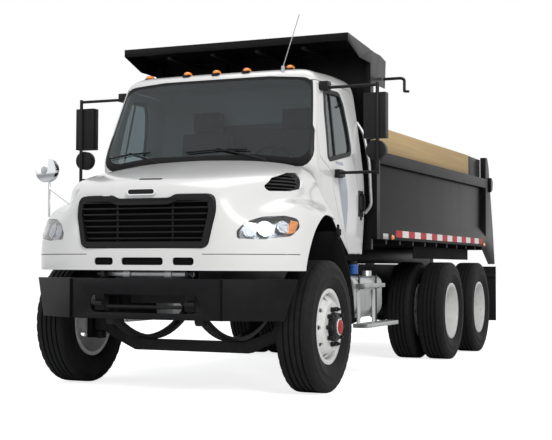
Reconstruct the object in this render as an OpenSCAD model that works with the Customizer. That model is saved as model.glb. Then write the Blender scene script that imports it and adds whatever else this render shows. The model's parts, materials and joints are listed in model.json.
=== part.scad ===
// Tandem-axle dump truck: day cab, tilting hood, steel dump body on an underbody hoist.
// Millimetres. Z is up from the ground, the truck faces -Y and its driver's side is +X.
// Places are measured from the front axle, and placed() moves the whole to its own origin.

/* [Wheels and axles] */
// Outer diameter of every tyre
tyre_d = 1044; // [1000:2:1060]
// Width of a front tyre
front_tyre_w = 298; // [270:2:306]
// Width of a rear tyre
rear_tyre_w = 282; // [260:2:295]
// Diameter over a rim's flanges
rim_d = 597; // [570:1:610]
// Middle of a front tyre from the truck's middle
front_tyre_x = 1075; // [1065:1:1090]
// Middle of an outer rear tyre from the truck's middle
rear_tyre_x = 1090; // [1080:1:1100]
// Distance between the middles of twin tyres
twin_pitch = 335; // [325:1:345]
// Front axle to the first rear axle
axle_gap = 3854; // [3800:10:4100]
// First rear axle to the second
tandem = 1318; // [1290:2:1340]
// Kingpin from the truck's middle
kingpin_x = 890; // [880:1:895]

/* [Frame] */
// Width over the two rails
frame_w = 864; // [840:2:880]
// Height of a rail
rail_h = 260; // [230:5:270]
// Top of the rails above the ground
frame_top = 1020; // [1010:1:1024]
// Wall of a rail
rail_t = 10; // [8:1:14]
// Radius of the bed's hinge pin
bed_pin_r = 28; // [20:1:32]
// Radius of the bolt holes in the hitch plate
hitch_hole_r = 10.5; // [8:0.5:14]

/* [Cab] */
// Width of the cab at its belt
cab_w = 2130; // [2100:10:2150]
// Underside of the cab above the ground
cab_bottom = 1105; // [1095:1:1120]
// Top of the cab's roof
roof_z = 2705; // [2680:5:2740]
// Wall of the cab
cab_wall = 42; // [34:1:50]
// Thickness of a door
door_t = 58; // [50:1:64]
// Seam around a door
door_gap = 6; // [6:1:9]
// Thickness of the glass
glass_t = 6; // [4:1:8]

/* [Hood] */
// Width over the fenders
fender_w = 2370; // [2350:2:2390]
// Lower edge of the hood above the ground
hood_bottom = 960; // [955:1:980]
// Wall of the hood
hood_wall = 12; // [8:1:16]
// Radius of a front wheel arch
arch_r = 536; // [530:1:550]
// Bars in the grille
grille_bars = 7; // [4:1:9]

/* [Bumper] */
// Height of the bumper
bumper_h = 312; // [280:4:320]
// Steel thickness of the bumper
bumper_t = 10; // [8:1:14]

/* [Dump body] */
// Width over the body's rails
bed_w = 2310; // [2290:2:2330]
// Width over the body's side sheets
bed_sheet_w = 2190; // [2170:2:2210]
// Length of the body
bed_l = 4929; // [4900:1:4940]
// Top of the body's floor above the ground
floor_z = 1340; // [1330:1:1350]
// Top of the side rails at their front
rail_top = 2040; // [2000:5:2070]
// Height of the boards that stand on the side rails
board_h = 245; // [150:5:260]
// Top of the cab shield
shield_z = 3000; // [2970:5:3030]
// Sheet thickness
sheet_t = 8; // [6:1:10]
// Thickness of the tailgate
gate_t = 70; // [55:1:80]

/* [Mirrors and antenna] */
// Width over the door mirrors
mirror_span = 2980; // [2940:10:3040]
// Height of the antenna's tip above the ground
antenna_z = 3136; // [3060:4:3200]

/* [Hidden] */

$fn = 48;
fit = 0.05;                     // radial running clearance of a pin in its bore
seat = 0.3;                     // gap between pieces that only touch
nose_y = -884;                  // foremost line of the hood and bumper
tail_y = 6290;                  // rearmost line, the foot of the rear posts
wheel_z = tyre_d / 2;
rear_1 = axle_gap;
rear_2 = axle_gap + tandem;
rear_mid = axle_gap + tandem / 2;

// ---- helpers ----
module placed() translate([0, -(nose_y + tail_y) / 2, 0]) children();
module both() { children(); mirror([1, 0, 0]) children(); }
module side(s) if (s > 0) children(); else mirror([1, 0, 0]) children();
module blk(a, b) translate(a) cube(b - a);
// A flat outline in (y, z), in (x, z) or in (x, y), given its thickness along the third axis.
module slab_x(x0, x1) translate([x0, 0, 0]) rotate([90, 0, 90]) linear_extrude(x1 - x0) children();
module slab_y(y0, y1) translate([0, y1, 0]) rotate([90, 0, 0]) linear_extrude(y1 - y0) children();
module slab_z(z0, z1) translate([0, 0, z0]) linear_extrude(z1 - z0) children();
module along_x(x0, x1, y, z, r) translate([x0, y, z]) rotate([0, 90, 0]) cylinder(h = x1 - x0, r = r);
module along_y(x, y0, y1, z, r) translate([x, y0, z]) rotate([-90, 0, 0]) cylinder(h = y1 - y0, r = r);
module rod_between(a, b, r) let (d = b - a, l = norm(d))
    translate(a) rotate([0, acos(d.z / l), atan2(d.y, d.x)]) cylinder(h = l, r = r);
// A profile in (radius, outward offset), turned about a wheel's axle.
module lathe_x(x, y) translate([x, y, wheel_z]) rotate([0, 90, 0]) rotate_extrude($fn = 72) children();
function unit(v) = v / norm(v);
function wrap(a) = a > 180 ? a - 360 : a < -180 ? a + 360 : a;
function arc_corner(a, p, b, r, n = 4) =
    let (u = unit(a - p), v = unit(b - p), half = acos(u * v) / 2,
         c = p + unit(u + v) * r / sin(half),
         s = p + u * r / tan(half) - c, e = p + v * r / tan(half) - c,
         a0 = atan2(s.y, s.x), turn = wrap(atan2(e.y, e.x) - a0))
    [for (i = [0:n]) c + r * [cos(a0 + turn * i / n), sin(a0 + turn * i / n)]];
// An outline with each corner rounded to its own radius.
function rounded(pts, r) = let (n = len(pts)) [for (i = [0:n - 1])
    each r[i] == 0 ? [pts[i]] : arc_corner(pts[(i + n - 1) % n], pts[i], pts[(i + 1) % n], r[i])];
// A counter-clockwise outline moved inwards by d.
function inset(pts, d) = let (n = len(pts)) [for (i = [0:n - 1])
    let (e1 = unit(pts[i] - pts[(i + n - 1) % n]), e2 = unit(pts[(i + 1) % n] - pts[i]),
         n1 = [-e1.y, e1.x], n2 = [-e2.y, e2.x]) pts[i] + (n1 + n2) * d / (1 + n1 * n2)];
// The right half of an outline with its mirror image.
function backwards(pts) = [for (i = [len(pts) - 1:-1:0]) pts[i]];
// A line of points given a thickness by a shift.
function ribbon(pts, shift) = [each pts, each [for (p = backwards(pts)) p + shift]];
function mirrored(pts) = [each pts, each [for (p = backwards(pts)) [-p.x, p.y]]];

// ---- frame ----
rail_x = frame_w / 2;
rail_in = rail_x - 80;
frame_low = frame_top - rail_h;
frame_front = -780;
frame_rear = 6030;
hinge = [5960, frame_top + 62];          // bed hinge, (y, z)
hoist_base = [2620, 860];                // lower hoist pin, (y, z)
hoist_eye = [4230, 1085];                // upper hoist eye, (y, z)
hood_pin = [-850, 932];                  // hood hinge, (y, z)
hood_pin_r = 12;
hood_lug_x = rail_in + 30;
hitch_dx = 160;
hitch_dz = 90;
hitch_z = frame_low + 130;
hitch_y = 5985;
hitch_t = 20;
mudflap_y = 5990;
mudflap_x1 = rear_tyre_x + rear_tyre_w / 2;
tank_x = [640, 1100];
tank_y = [880, 1675];
module rail() difference() {
    blk([rail_in, frame_front, frame_low], [rail_x, frame_rear, frame_top]);
    blk([rail_in - 1, frame_front - 1, frame_low + rail_t],
        [rail_x - rail_t, frame_rear + 1, frame_top - rail_t]);
}
module crossmember(y, z0, z1, l = 90)
    blk([-rail_x + rail_t + seat, y - l / 2, z0 + seat], [rail_x - rail_t - seat, y + l / 2, z1 - seat]);
module hinge_cheeks() for (x = [rail_in, rail_x - 20]) slab_x(x, x + 20) polygon(rounded(
    [[hinge.x - 85, frame_top], [hinge.x + 60, frame_top], [hinge.x + 42, hinge.y + 42],
     [hinge.x - 42, hinge.y + 42]], [0, 0, 28, 28]));
// Arms on the rails' front ends that hold the hood's pins.
module hood_horn() {
    slab_x(rail_in, rail_in + 20) polygon([[frame_front, frame_low + 60],
        [frame_front, frame_top], [hood_pin.x + 22, hood_pin.y + 20], [hood_pin.x - 14, hood_pin.y + 16],
        [hood_pin.x - 14, hood_pin.y - 16], [hood_pin.x + 22, hood_pin.y - 60]]);
    along_x(rail_in, hood_lug_x + 28, hood_pin.x, hood_pin.y, hood_pin_r);
}
module cab_mounts() for (y = [520, 1200]) blk([rail_in, y, frame_top], [rail_x, y + 80, cab_bottom]);
module tank_arms() for (y = [tank_y[0] + 120, tank_y[1] - 180])
    blk([rail_x, y, frame_low + 20], [tank_x[0], y + 60, frame_low + 90]);
// Upright plates across which the hoist's base pin lies.
module hoist_cheeks() {
    for (x = [-130, 110]) slab_x(x, x + 20) polygon(
        [[hoist_base.x - 105, frame_low + 20], [hoist_base.x + 50, hoist_base.y - 50],
         [hoist_base.x + 50, hoist_base.y + 50], [hoist_base.x - 105, hoist_base.y + 60]]);
    along_x(-130, 130, hoist_base.x, hoist_base.y, 30);
}
module frame() color("#17181a") placed() both() {
    rail();
    hinge_cheeks();
    along_x(rail_in, rail_x, hinge.x, hinge.y, bed_pin_r);
    hood_horn();
    blk([rail_x - 1, mudflap_y - 20, frame_low + 110], [mudflap_x1, mudflap_y, frame_low + 150]);
    cab_mounts();
    tank_arms();
    blk([rail_in, frame_front - 12, frame_low - 120], [rail_x, frame_front, frame_low + 50]);
}
module frame_crossmembers() color("#17181a") placed() difference() {
    union() {
        crossmember(-640, frame_low + 20, frame_low + 90);
        crossmember(1500, frame_low + 88, frame_top - rail_t);
        crossmember(hoist_base.x - 150, frame_low + rail_t, frame_top - rail_t);
        crossmember(3300, frame_low + rail_t, frame_low + 85);
        crossmember(rear_mid, frame_low + rail_t, frame_top - rail_t, 160);
        crossmember(5650, frame_low + rail_t, frame_top - rail_t);
        hoist_cheeks();
        blk([-rail_x + rail_t + seat, hitch_y, frame_low + rail_t + seat],
            [rail_x - rail_t - seat, hitch_y + hitch_t, frame_top - rail_t - seat]);
    }
    for (x = [-1, 1], z = [-1, 1])
        along_y(x * hitch_dx / 2, hitch_y - 1, hitch_y + hitch_t + 1, hitch_z + z * hitch_dz / 2, hitch_hole_r);
}

// ---- bumper ----
bumper_z1 = 897;
bumper_z0 = bumper_z1 - bumper_h;
bumper_seam = [652, -852];
bumper_end = [1146, -572];
slot_x = 470;
slot_z = [634, 774];
module bumper_piece(pts, lip = 60) {
    slab_z(bumper_z0, bumper_z1) polygon(ribbon(pts, [0, bumper_t * 1.15]));
    for (z = [bumper_z0, bumper_z1 - bumper_t]) slab_z(z, z + bumper_t) polygon(ribbon(pts, [0, lip]));
}
module front_bumper() color("#151517") placed() {
    difference() {
        bumper_piece([[-bumper_seam.x, bumper_seam.y], [-200, nose_y + 6], [200, nose_y + 6], bumper_seam]);
        // Room for the hood's horns.
        both() blk([rail_in - 6, nose_y + 19, bumper_z1 - 40], [hood_lug_x + 34, nose_y + 99, bumper_z1 + 1]);
        slab_y(nose_y - 1, bumper_seam.y + 60) polygon(rounded(
            [[-slot_x, slot_z[0]], [slot_x, slot_z[0]], [slot_x, slot_z[1]], [-slot_x, slot_z[1]]],
            [55, 55, 55, 55]));
    }
    both() {
        difference() {
            bumper_piece([bumper_seam + [seat, 0], bumper_end]);
            slab_y(-900, -400) polygon([[1062, bumper_z0 - 5], [1148, bumper_z1 + 5],
                [1300, bumper_z1 + 5], [1300, bumper_z0 - 5]]);
            // Clear of the steered tyre's sweep.
            translate([kingpin_x, 0, bumper_z0 - 5]) cylinder(h = bumper_z1 - bumper_z0 + 10,
                r = norm([front_tyre_x - kingpin_x + 0.4 * front_tyre_w, tyre_d / 2]) + 9);
        }
        // Brackets from the rails' ends to the bumper.
        blk([rail_in, nose_y + 24, frame_low - 110], [rail_x, frame_front - 12, frame_low + 50]);
    }
}

// ---- engine, radiator and driveline ----
radiator_y = -700;
engine_z1 = 1480;
module radiator() color("#5a5d60") placed() {
    blk([-rail_in + 8, radiator_y, frame_low + 90], [rail_in - 8, radiator_y + 90, frame_top + 10]);
    blk([-430, radiator_y, frame_top + 10], [430, radiator_y + 90, 1480]);
}
module engine() color("#3c3f42") placed() {
    blk([-300, -520, 700], [300, 150, engine_z1]);
    both() for (y = [-380, 20]) blk([300, y, 860], [rail_x - rail_t, y + 90, 930]);
    along_y(0, 150, 900, 790, 230);
    along_y(0, 900, 1250, 790, 130);
}
module driveshafts() color("#26272a") placed() {
    along_y(0, 1250, 1330, 790, 62);
    rod_between([0, 1300, 790], [0, rear_1 - 330, wheel_z + 80], 45);
    along_y(0, rear_1 - 350, rear_1 - 260, wheel_z + 80, 62);
    along_y(0, rear_1 + 260, rear_2 - 260, wheel_z + 60, 45);
}

// ---- front axle and its springs ----
beam_low = 290;
boss_h = 80;
module front_axle() color("#1b1c1e") placed() both() {
    slab_y(-50, 50) polygon([[-1, beam_low], [520, beam_low], [760, 400], [820, wheel_z - boss_h + 6],
        [kingpin_x, wheel_z - boss_h + 6], [kingpin_x, wheel_z + boss_h - 6], [800, wheel_z + boss_h - 6],
        [720, 470], [490, 380], [-1, 380]]);
    translate([kingpin_x, 0, wheel_z - boss_h]) cylinder(h = 2 * boss_h, r = 46);
    translate([kingpin_x, 0, wheel_z - 150]) cylinder(h = 300, r = 24);
}
// A bowed pack of leaves: an arc between two radii about a centre above the axle.
leaf_r = 1197;
leaf_t = 38;
spring_x = [rail_x - 78, rail_x - 4];
bow_half = 34;
function bow(r) = [for (i = [0:16]) let (a = -90 - bow_half + bow_half * i / 8) r * [cos(a), sin(a)]];
module front_springs() color("#202124") placed() both() {
    translate([0, 0, 380 + leaf_r]) slab_x(spring_x[0], spring_x[1])
        polygon([each bow(leaf_r), each backwards(bow(leaf_r - leaf_t))]);
    for (s = [-1, 1]) let (ey = s * leaf_r * sin(bow_half) * 0.985,
            ez = 380 + leaf_r * (1 - cos(bow_half)) - 10) {
        along_x(spring_x[0], spring_x[1], ey, ez, 42);
        blk([spring_x[0], ey - 35, ez], [spring_x[1], ey + 35, frame_low]);
    }
}

// ---- steering knuckles ----
knuckle_gap = 5;
hub_in_x = kingpin_x + 100;
module knuckle(s) side(s) difference() {
    union() {
        for (z = [wheel_z - 145, wheel_z + boss_h + knuckle_gap])
            translate([kingpin_x, 0, z]) cylinder(h = 60, r = 50);
        for (z = [wheel_z - 145, wheel_z + boss_h + knuckle_gap])
            blk([kingpin_x, -40, z], [kingpin_x + 60, 40, z + 60]);
        blk([kingpin_x + 52, -60, wheel_z - 145], [hub_in_x - 5, 60, wheel_z + 145]);
        along_x(hub_in_x - 6, front_tyre_x + 130, 0, wheel_z, 38);
    }
    translate([kingpin_x, 0, wheel_z - 160]) cylinder(h = 320, r = 24 + fit);
}
module knuckle_left() color("#232427") placed() knuckle(1);
module knuckle_right() color("#232427") placed() knuckle(-1);

// ---- tyres and rims ----
bead_r = rim_d / 2 - 12.5;
rim_half = 118;
module tyre_profile(w) let (h = w / 2, r = tyre_d / 2, b = bead_r + seat) polygon([
    [b, -rim_half + 15], [rim_d / 2 + seat + 1, -rim_half + 15], [rim_d / 2 + 8, -rim_half - 2],
    [rim_d / 2 + 50, -h * 0.93], [400, -h], [r - 62, -h * 0.985], [r - 20, -h * 0.9], [r - 3, -h * 0.78],
    [r, -h * 0.7],
    each [for (g = [-0.45, -0.15, 0.15, 0.45]) each
        [[r, g * h - 7], [r - 14, g * h - 5], [r - 14, g * h + 5], [r, g * h + 7]]],
    [r, h * 0.7], [r - 3, h * 0.78], [r - 20, h * 0.9], [r - 62, h * 0.985], [400, h],
    [rim_d / 2 + 50, h * 0.93], [rim_d / 2 + 8, rim_half + 2], [rim_d / 2 + seat + 1, rim_half - 15],
    [b, rim_half - 15]]);
module rim_barrel() polygon([[bead_r - 20, -rim_half], [rim_d / 2, -rim_half], [rim_d / 2, -rim_half + 13],
    [bead_r, -rim_half + 14], [bead_r, rim_half - 14], [rim_d / 2, rim_half - 13],
    [rim_d / 2, rim_half], [bead_r - 20, rim_half]]);
// A dished disc whose mounting face is at z.
module disc_profile(z, r_in) polygon([[bead_r - 18, z - 115], [bead_r - 18, z - 95], [225, z - 30],
    [190, z], [r_in, z], [r_in, z - 11], [186, z - 11], [218, z - 40]]);
module hand_holes(x, y) for (i = [0:9]) translate([x, y, wheel_z])
    rotate([i * 36 + 18, 0, 0]) translate([0, 0, 229]) rotate([0, 90, 0]) cylinder(h = 200, r = 19, center = true);
front_disc = 148;
module front_tyre(s) side(s) lathe_x(front_tyre_x, 0) tyre_profile(front_tyre_w);
module front_rim(s) side(s) difference() {
    union() {
        lathe_x(front_tyre_x, 0) rim_barrel();
        lathe_x(front_tyre_x, 0) disc_profile(front_disc, 60);
        along_x(hub_in_x, front_tyre_x + front_disc + 30, 0, wheel_z, 110);
        along_x(front_tyre_x + front_disc + 29, front_tyre_x + front_disc + 62, 0, wheel_z, 62);
    }
    along_x(hub_in_x - 1, front_tyre_x + 140, 0, wheel_z, 38 + fit);
    hand_holes(front_tyre_x + front_disc - 40, 0);
}
module front_tyre_left() color("#1d1d1e") placed() front_tyre(1);
module front_tyre_right() color("#1d1d1e") placed() front_tyre(-1);
module front_rim_left() color("#e6e6e3") placed() front_rim(1);
module front_rim_right() color("#e6e6e3") placed() front_rim(-1);

inner_tyre_x = rear_tyre_x - twin_pitch;
twin_x = (rear_tyre_x + inner_tyre_x) / 2;
spindle_r = 45;
module rear_tyres(s, y) side(s) for (x = [inner_tyre_x, rear_tyre_x])
    lathe_x(x, y) tyre_profile(rear_tyre_w);
module rear_rims(s, y) side(s) difference() {
    union() {
        for (x = [inner_tyre_x, rear_tyre_x]) lathe_x(x, y) rim_barrel();
        lathe_x(inner_tyre_x, y) disc_profile(twin_pitch / 2, 60);
        translate([2 * twin_x, 0, 0]) mirror([1, 0, 0]) lathe_x(inner_tyre_x, y)
            disc_profile(twin_pitch / 2, 60);
        along_x(inner_tyre_x - 90, twin_x + 95, y, wheel_z, 110);
        along_x(inner_tyre_x - 96, inner_tyre_x - 30, y, wheel_z, 205);
    }
    along_x(inner_tyre_x - 100, twin_x + 60, y, wheel_z, spindle_r + fit);
    hand_holes(twin_x, y);
}
module rear_tyres_left_1() color("#1d1d1e") placed() rear_tyres(1, rear_1);
module rear_tyres_right_1() color("#1d1d1e") placed() rear_tyres(-1, rear_1);
module rear_tyres_left_2() color("#1d1d1e") placed() rear_tyres(1, rear_2);
module rear_tyres_right_2() color("#1d1d1e") placed() rear_tyres(-1, rear_2);
module rear_rims_left_1() color("#e6e6e3") placed() rear_rims(1, rear_1);
module rear_rims_right_1() color("#e6e6e3") placed() rear_rims(-1, rear_1);
module rear_rims_left_2() color("#e6e6e3") placed() rear_rims(1, rear_2);
module rear_rims_right_2() color("#e6e6e3") placed() rear_rims(-1, rear_2);

// ---- rear axles and their walking beams ----
axle_r = 65;
beam_x = [rail_x + 24, rail_x + 84];
module rear_axles() color("#1b1c1e") placed() for (y = [rear_1, rear_2]) {
    both() {
        along_x(-1, beam_x[1] + 30, y, wheel_z, axle_r);
        along_x(beam_x[1] + 29, twin_x + 50, y, wheel_z, spindle_r);
    }
    translate([0, y, wheel_z + 30]) sphere(r = 215);
    along_y(0, y - 260, y + 260, wheel_z + (y == rear_1 ? 80 : 60), 80);
}
module rear_suspension() color("#202124") placed() both() difference() {
    union() {
        slab_x(beam_x[0], beam_x[1]) polygon([[rear_1 + 60, wheel_z - 70], [rear_mid - 200, wheel_z - 130],
            [rear_mid + 200, wheel_z - 130], [rear_2 - 60, wheel_z - 70], [rear_2 - 60, wheel_z + 70],
            [rear_mid + 200, wheel_z + 60], [rear_mid - 200, wheel_z + 60], [rear_1 + 60, wheel_z + 70]]);
        for (y = [rear_1, rear_2]) along_x(beam_x[0], beam_x[1], y, wheel_z, 108);
        slab_x(rail_x, beam_x[0] + 30) polygon([[rear_mid - 190, frame_top - 20], [rear_mid - 120, wheel_z - 40],
            [rear_mid + 120, wheel_z - 40], [rear_mid + 190, frame_top - 20]]);
    }
    for (y = [rear_1, rear_2]) along_x(beam_x[0] - 1, beam_x[1] + 1, y, wheel_z, axle_r + seat);
}

// ---- tank, battery box, steps, shields ----
tank_z = [540, 912];
module tank_body() slab_y(tank_y[0], tank_y[1]) polygon(rounded(
    [[tank_x[0], tank_z[0]], [tank_x[1], tank_z[0]], [tank_x[1], tank_z[1]], [tank_x[0], tank_z[1]]],
    [70, 110, 70, 70]));
module fuel_tank() color("#8d9385") placed() {
    tank_body();
    translate([tank_x[1] - 110, tank_y[1] - 110, tank_z[1] - 1]) cylinder(h = 46, r = 45);
}
module battery_box() color("#8b8e90") placed() mirror([1, 0, 0])
    blk([tank_x[0], tank_y[0], tank_z[0]], [tank_x[1], tank_y[1] - 160, tank_z[1] - 60]);
step_x1 = 1215;
module step(y0, y1, z, x0, x1) blk([x0, y0, z], [x1, y1, z + 34]);
module side_steps() color("#b9bbbb") placed() both() {
    for (y = [tank_y[0] + 70, tank_y[1] - 300]) {
        blk([tank_x[1] + seat, y, 470], [tank_x[1] + 12, y + 70, tank_z[1] - 120]);
        blk([tank_x[1] + seat, y, 800], [step_x1 - 40, y + 10, 846]);
    }
    step(tank_y[0] + 20, tank_y[1] - 200, 846 - 34, tank_x[1] + seat, step_x1 - 20);
    step(tank_y[0] - 30, tank_y[1] + 80, 470, tank_x[1] + seat, step_x1 + 20);
}
shield_line = [[262, 1275], [385, 1120], [540, 930], [630, 730], [668, 545]];
module splash_shields() color("#1a1b1c") placed() both() {
    slab_x(700, 1180) polygon(ribbon(shield_line, [9, 2]));
    blk([rail_x, 600, 800], [700, 640, 850]);
    blk([690, 606, 800], [712, 640, 850]);
}
module mudflaps() color("#161617") placed() both()
    blk([640, mudflap_y, 330], [mudflap_x1, mudflap_y + 10, 1000]);

// ---- cab ----
// Outlines of the cab from the side (y, z), from the front (x, z) and in plan (x, y).
cab_rear = 1335;
belt = cab_w / 2;
screen_z = [1876, 2570];
screen_y = [112, 384];
cab_side = [[430, cab_bottom], [cab_rear, cab_bottom], [cab_rear, roof_z - 150],
    [1240, roof_z - 30], [900, roof_z], [500, roof_z - 40], [screen_y[1], screen_z[1]],
    [screen_y[0], screen_z[0]], [182, 1800], [264, 1690], [264, 1300]];
cab_side_r = [30, 30, 80, 120, 300, 60, 60, 6, 10, 20, 40];
cab_front = mirrored([[belt - 30, cab_bottom], [belt, 1500], [belt - 14, 1860],
    [belt - 108, 2510], [belt - 330, roof_z + 6]]);
cab_front_r = [20, 300, 200, 140, 400, 400, 140, 200, 300, 20];
cab_plan = mirrored([[620, 100], [belt - 60, 165], [belt - 22, 450], [belt, 900], [belt, cab_rear + 1]]);
cab_plan_r = [400, 60, 300, 300, 60, 60, 300, 300, 60, 400];
// An outline of corners and their radii, moved inwards by d.
function shrunk(corners, radii, d) = rounded(inset(corners, d), [for (r = radii) max(r - d, 4)]);
// Corners taken out of the cab's lower front, over the front wheels.
house_in = 720;
house = [[200, cab_bottom - 100], [1000, cab_bottom - 100], [922, 1112], [710, 1256], [496, 1418], [200, 1560]];
module cab_block(d) difference() {
    intersection() {
        slab_x(-belt, belt) polygon(shrunk(cab_side, cab_side_r, d));
        slab_y(0, cab_rear + 10) polygon(shrunk(cab_front, cab_front_r, d));
        slab_z(cab_bottom - 10, roof_z + 20) polygon(shrunk(cab_plan, cab_plan_r, d));
    }
    both() slab_x(house_in - d, belt + 1) polygon(inset(house, -d));
}
// The door's front edge follows the windshield's post, then sweeps back over the wheel.
door_y = [282, 1268];
door_z = [cab_bottom + 6, 2560];
door_corners = [[940, door_z[0]], [door_y[1], door_z[0]], [door_y[1], 2380], [1180, door_z[1]],
    [410, door_z[1]], [340, 2370], [door_y[0] + 6, 2150], [door_y[0], 1900], [490, 1800], [560, 1640],
    [655, 1450], [800, 1270]];
door_radii = [40, 60, 160, 120, 60, 200, 200, 60, 90, 300, 300, 200];
door_line = rounded(door_corners, door_radii);
door_gap_rear = 20;                         // wider above, where the side leans in and the edge swings wide
door_hole = rounded([for (p = inset(door_corners, -door_gap))
    p.x > 1100 && p.y > 2000 ? p + [door_gap_rear - door_gap, 0] : p], door_radii);
window_line = rounded([[436, 1874], [1004, 1975], [992, 2200], [950, 2400], [890, 2500], [560, 2488],
    [500, 2300]], [40, 80, 200, 120, 70, 60, 200]);
screen_line = rounded(mirrored([[belt - 82, 1862], [belt - 178, 2556]]), [90, 120, 120, 90]);
rear_line = rounded(mirrored([[480, 1950], [480, 2400]]), [60, 60, 60, 60]);
door_pin = [belt + 1, door_y[0] - 20];      // (x, y) of the door's hinge line
door_pin_r = 6;
door_pins_z = [1765, 1945];
// The room of a door in the cab's side: deeper above, where the side leans in.
module door_zone(line) {
    slab_x(belt - 105, belt + 1) polygon(line);
    slab_x(belt - 215, belt + 1) intersection() {
        polygon(line);
        translate([0, 1700]) square([2000, 1000]);
    }
}
module cab() color("#ececea") placed() {
    difference() {
        cab_block(0);
        cab_block(cab_wall);
        both() door_zone(door_hole);
        slab_y(0, 600) polygon(screen_line);
        slab_y(cab_rear - 100, cab_rear + 10) polygon(rear_line);
    }
    both() for (z = door_pins_z) {
        for (k = [-32, 22]) translate([0, 0, z + k]) {
            translate([door_pin.x, door_pin.y, 0]) cylinder(h = 10, r = 9);
            blk([door_pin.x - 90, door_pin.y - 34, 0], [door_pin.x + 4, door_pin.y, 10]);
        }
        translate([door_pin.x, door_pin.y, z - 30]) cylinder(h = 60, r = door_pin_r);
    }
}
module cab_glass() color("#2a3238") placed() {
    intersection() {
        difference() { cab_block(4); cab_block(4 + glass_t); }
        slab_y(0, 600) polygon(inset(screen_line, seat));
    }
    slab_y(cab_rear - 20, cab_rear - 20 + glass_t) polygon(inset(rear_line, seat));
}
wheel_c = [450, 720, 1850];                 // middle of the steering wheel
column_l = 230;
module steering_pose() translate(wheel_c) rotate([-55, 0, 0]) children();
dash_rear = 620;
module dashboard() color("#3a3c3e") placed() intersection() {
    cab_block(cab_wall + seat);
    difference() {
        slab_x(-960, 960) polygon(rounded([[200, 1500], [dash_rear, 1500], [dash_rear - 30, 1800],
            [420, 1850], [180, 1850]], [0, 40, 60, 60, 0]));
        steering_pose() translate([0, 0, -column_l - seat]) cylinder(h = column_l, r = 30 + seat);
    }
}
module steering_wheel() color("#1c1c1d") placed() steering_pose() {
    rotate_extrude() translate([215, 0]) circle(r = 15);
    for (a = [90, 210, 330]) rotate([0, 0, a]) blk([0, -16, -8], [206, 16, 8]);
    translate([0, 0, -30]) cylinder(h = 46, r = 60);
    translate([0, 0, -column_l]) cylinder(h = column_l - 25, r = 30);
}
module seat_shape(x) {
    blk([x - 190, 760, cab_bottom + cab_wall + seat], [x + 190, 1130, 1420]);
    blk([x - 250, 700, 1420], [x + 250, 1180, 1540]);
    slab_x(x - 240, x + 240) polygon(rounded([[1080, 1540], [1180, 1540], [1255, 2230], [1175, 2250]],
        [0, 30, 30, 30]));
}
module seats() color("#4a4d50") placed() for (x = [-450, 450]) seat_shape(x);
module antenna() color("#9a9ca0") placed() {
    rod_between([600, 470, roof_z - 60], [605, 470, roof_z - 5], 16);
    rod_between([602, 470, roof_z - 20], [752, 470, antenna_z - 3], 4);
}

// ---- hood ----
// The middle of the hood and the fenders, each from the side, from the front and in plan.
fender_x = fender_w / 2;
hood_rear = 248;
hood_side = rounded([[hood_rear, hood_bottom], [hood_rear, 1690], [168, 1795], [104, 1872], [-700, 1690],
    [-850, 1600], [nose_y, 1490], [nose_y, hood_bottom]], [0, 20, 20, 20, 300, 80, 60, 0]);
hood_front = rounded(mirrored([[720, hood_bottom], [800, 1560], [900, 1760], [600, 1862], [250, 1885]]),
    [0, 300, 120, 300, 300, 300, 300, 120, 300, 0]);
hood_plan = rounded(mirrored([[300, nose_y], [560, -868], [700, -700], [1000, 180], [1000, hood_rear]]),
    [300, 160, 200, 20, 0, 0, 20, 200, 160, 300]);
fender_side = rounded([[hood_rear, hood_bottom], [hood_rear, 1500], [-60, 1500], [-420, 1420], [-700, 1290],
    [-860, 1160], [-870, hood_bottom]], [0, 60, 300, 300, 200, 60, 0]);
fender_front = rounded(mirrored([[fender_x, hood_bottom - 1], [fender_x, 1330], [1120, 1452], [800, 1520]]),
    [0, 120, 120, 200, 200, 120, 120, 0]);
fender_plan = rounded(mirrored([[300, -872], [654, -850], [1000, -660], [1140, -500], [fender_x, -330],
    [fender_x, hood_rear]]), [400, 200, 120, 120, 200, 0, 0, 200, 120, 120, 200, 400]);
module body_block(side_pts, front_pts, plan_pts, d) intersection() {
    slab_x(-fender_x - 5, fender_x + 5) polygon(inset(side_pts, d));
    slab_y(-900, hood_rear + 1) polygon(inset(front_pts, d));
    slab_z(hood_bottom - 5, 1900) polygon(inset(plan_pts, d));
}
module hood_block(d) body_block(hood_side, hood_front, hood_plan, d);
module fender_block(d) body_block(fender_side, fender_front, fender_plan, d);
arch_c = [70, 869];
grille_corners = [[-522, 1125], [522, 1125], [588, 1380], [565, 1540], [270, 1540], [215, 1518],
    [-215, 1518], [-270, 1540], [-565, 1540], [-588, 1380]];
grille_radii = [50, 50, 80, 50, 20, 20, 20, 20, 50, 80];
grille_line = shrunk(grille_corners, grille_radii, 0);
lamp_line = rounded([[690, 1195], [1172, 1212], [1172, 1330], [1040, 1345], [800, 1310]],
    [30, 40, 40, 90, 90]);
module hood() color("#efefed") placed() {
    difference() {
        union() { hood_block(0); fender_block(0); }
        union() { hood_block(hood_wall); fender_block(hood_wall); }
        // Open behind and below.
        blk([-1100, 0, hood_bottom - 9], [1100, hood_rear + 9, 1500 - hood_wall]);
        slab_x(-990, 990) polygon([[90, hood_bottom], [hood_rear + 9, hood_bottom], [hood_rear + 9, 1700],
            [174, 1810], [112, 1880], [70, 1840]]);
        blk([-fender_x + 16, -860, hood_bottom - 9], [fender_x - 16, hood_rear + 9, hood_bottom + hood_wall + 1]);
        both() along_x(900, fender_x + 9, arch_c.x, arch_c.y, arch_r);
        slab_y(nose_y - 9, nose_y + 80) polygon(grille_line);
        both() slab_y(-900, -320) polygon(lamp_line);
        for (x = [[-430, -262], [-187, 174], [255, 432]]) slab_y(nose_y - 9, nose_y + 60)
            polygon([[x[0], 1000], [x[1], 1000], [x[1], 1058], [x[0], 1058]]);
    }
    both() hood_lug();
}
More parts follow.
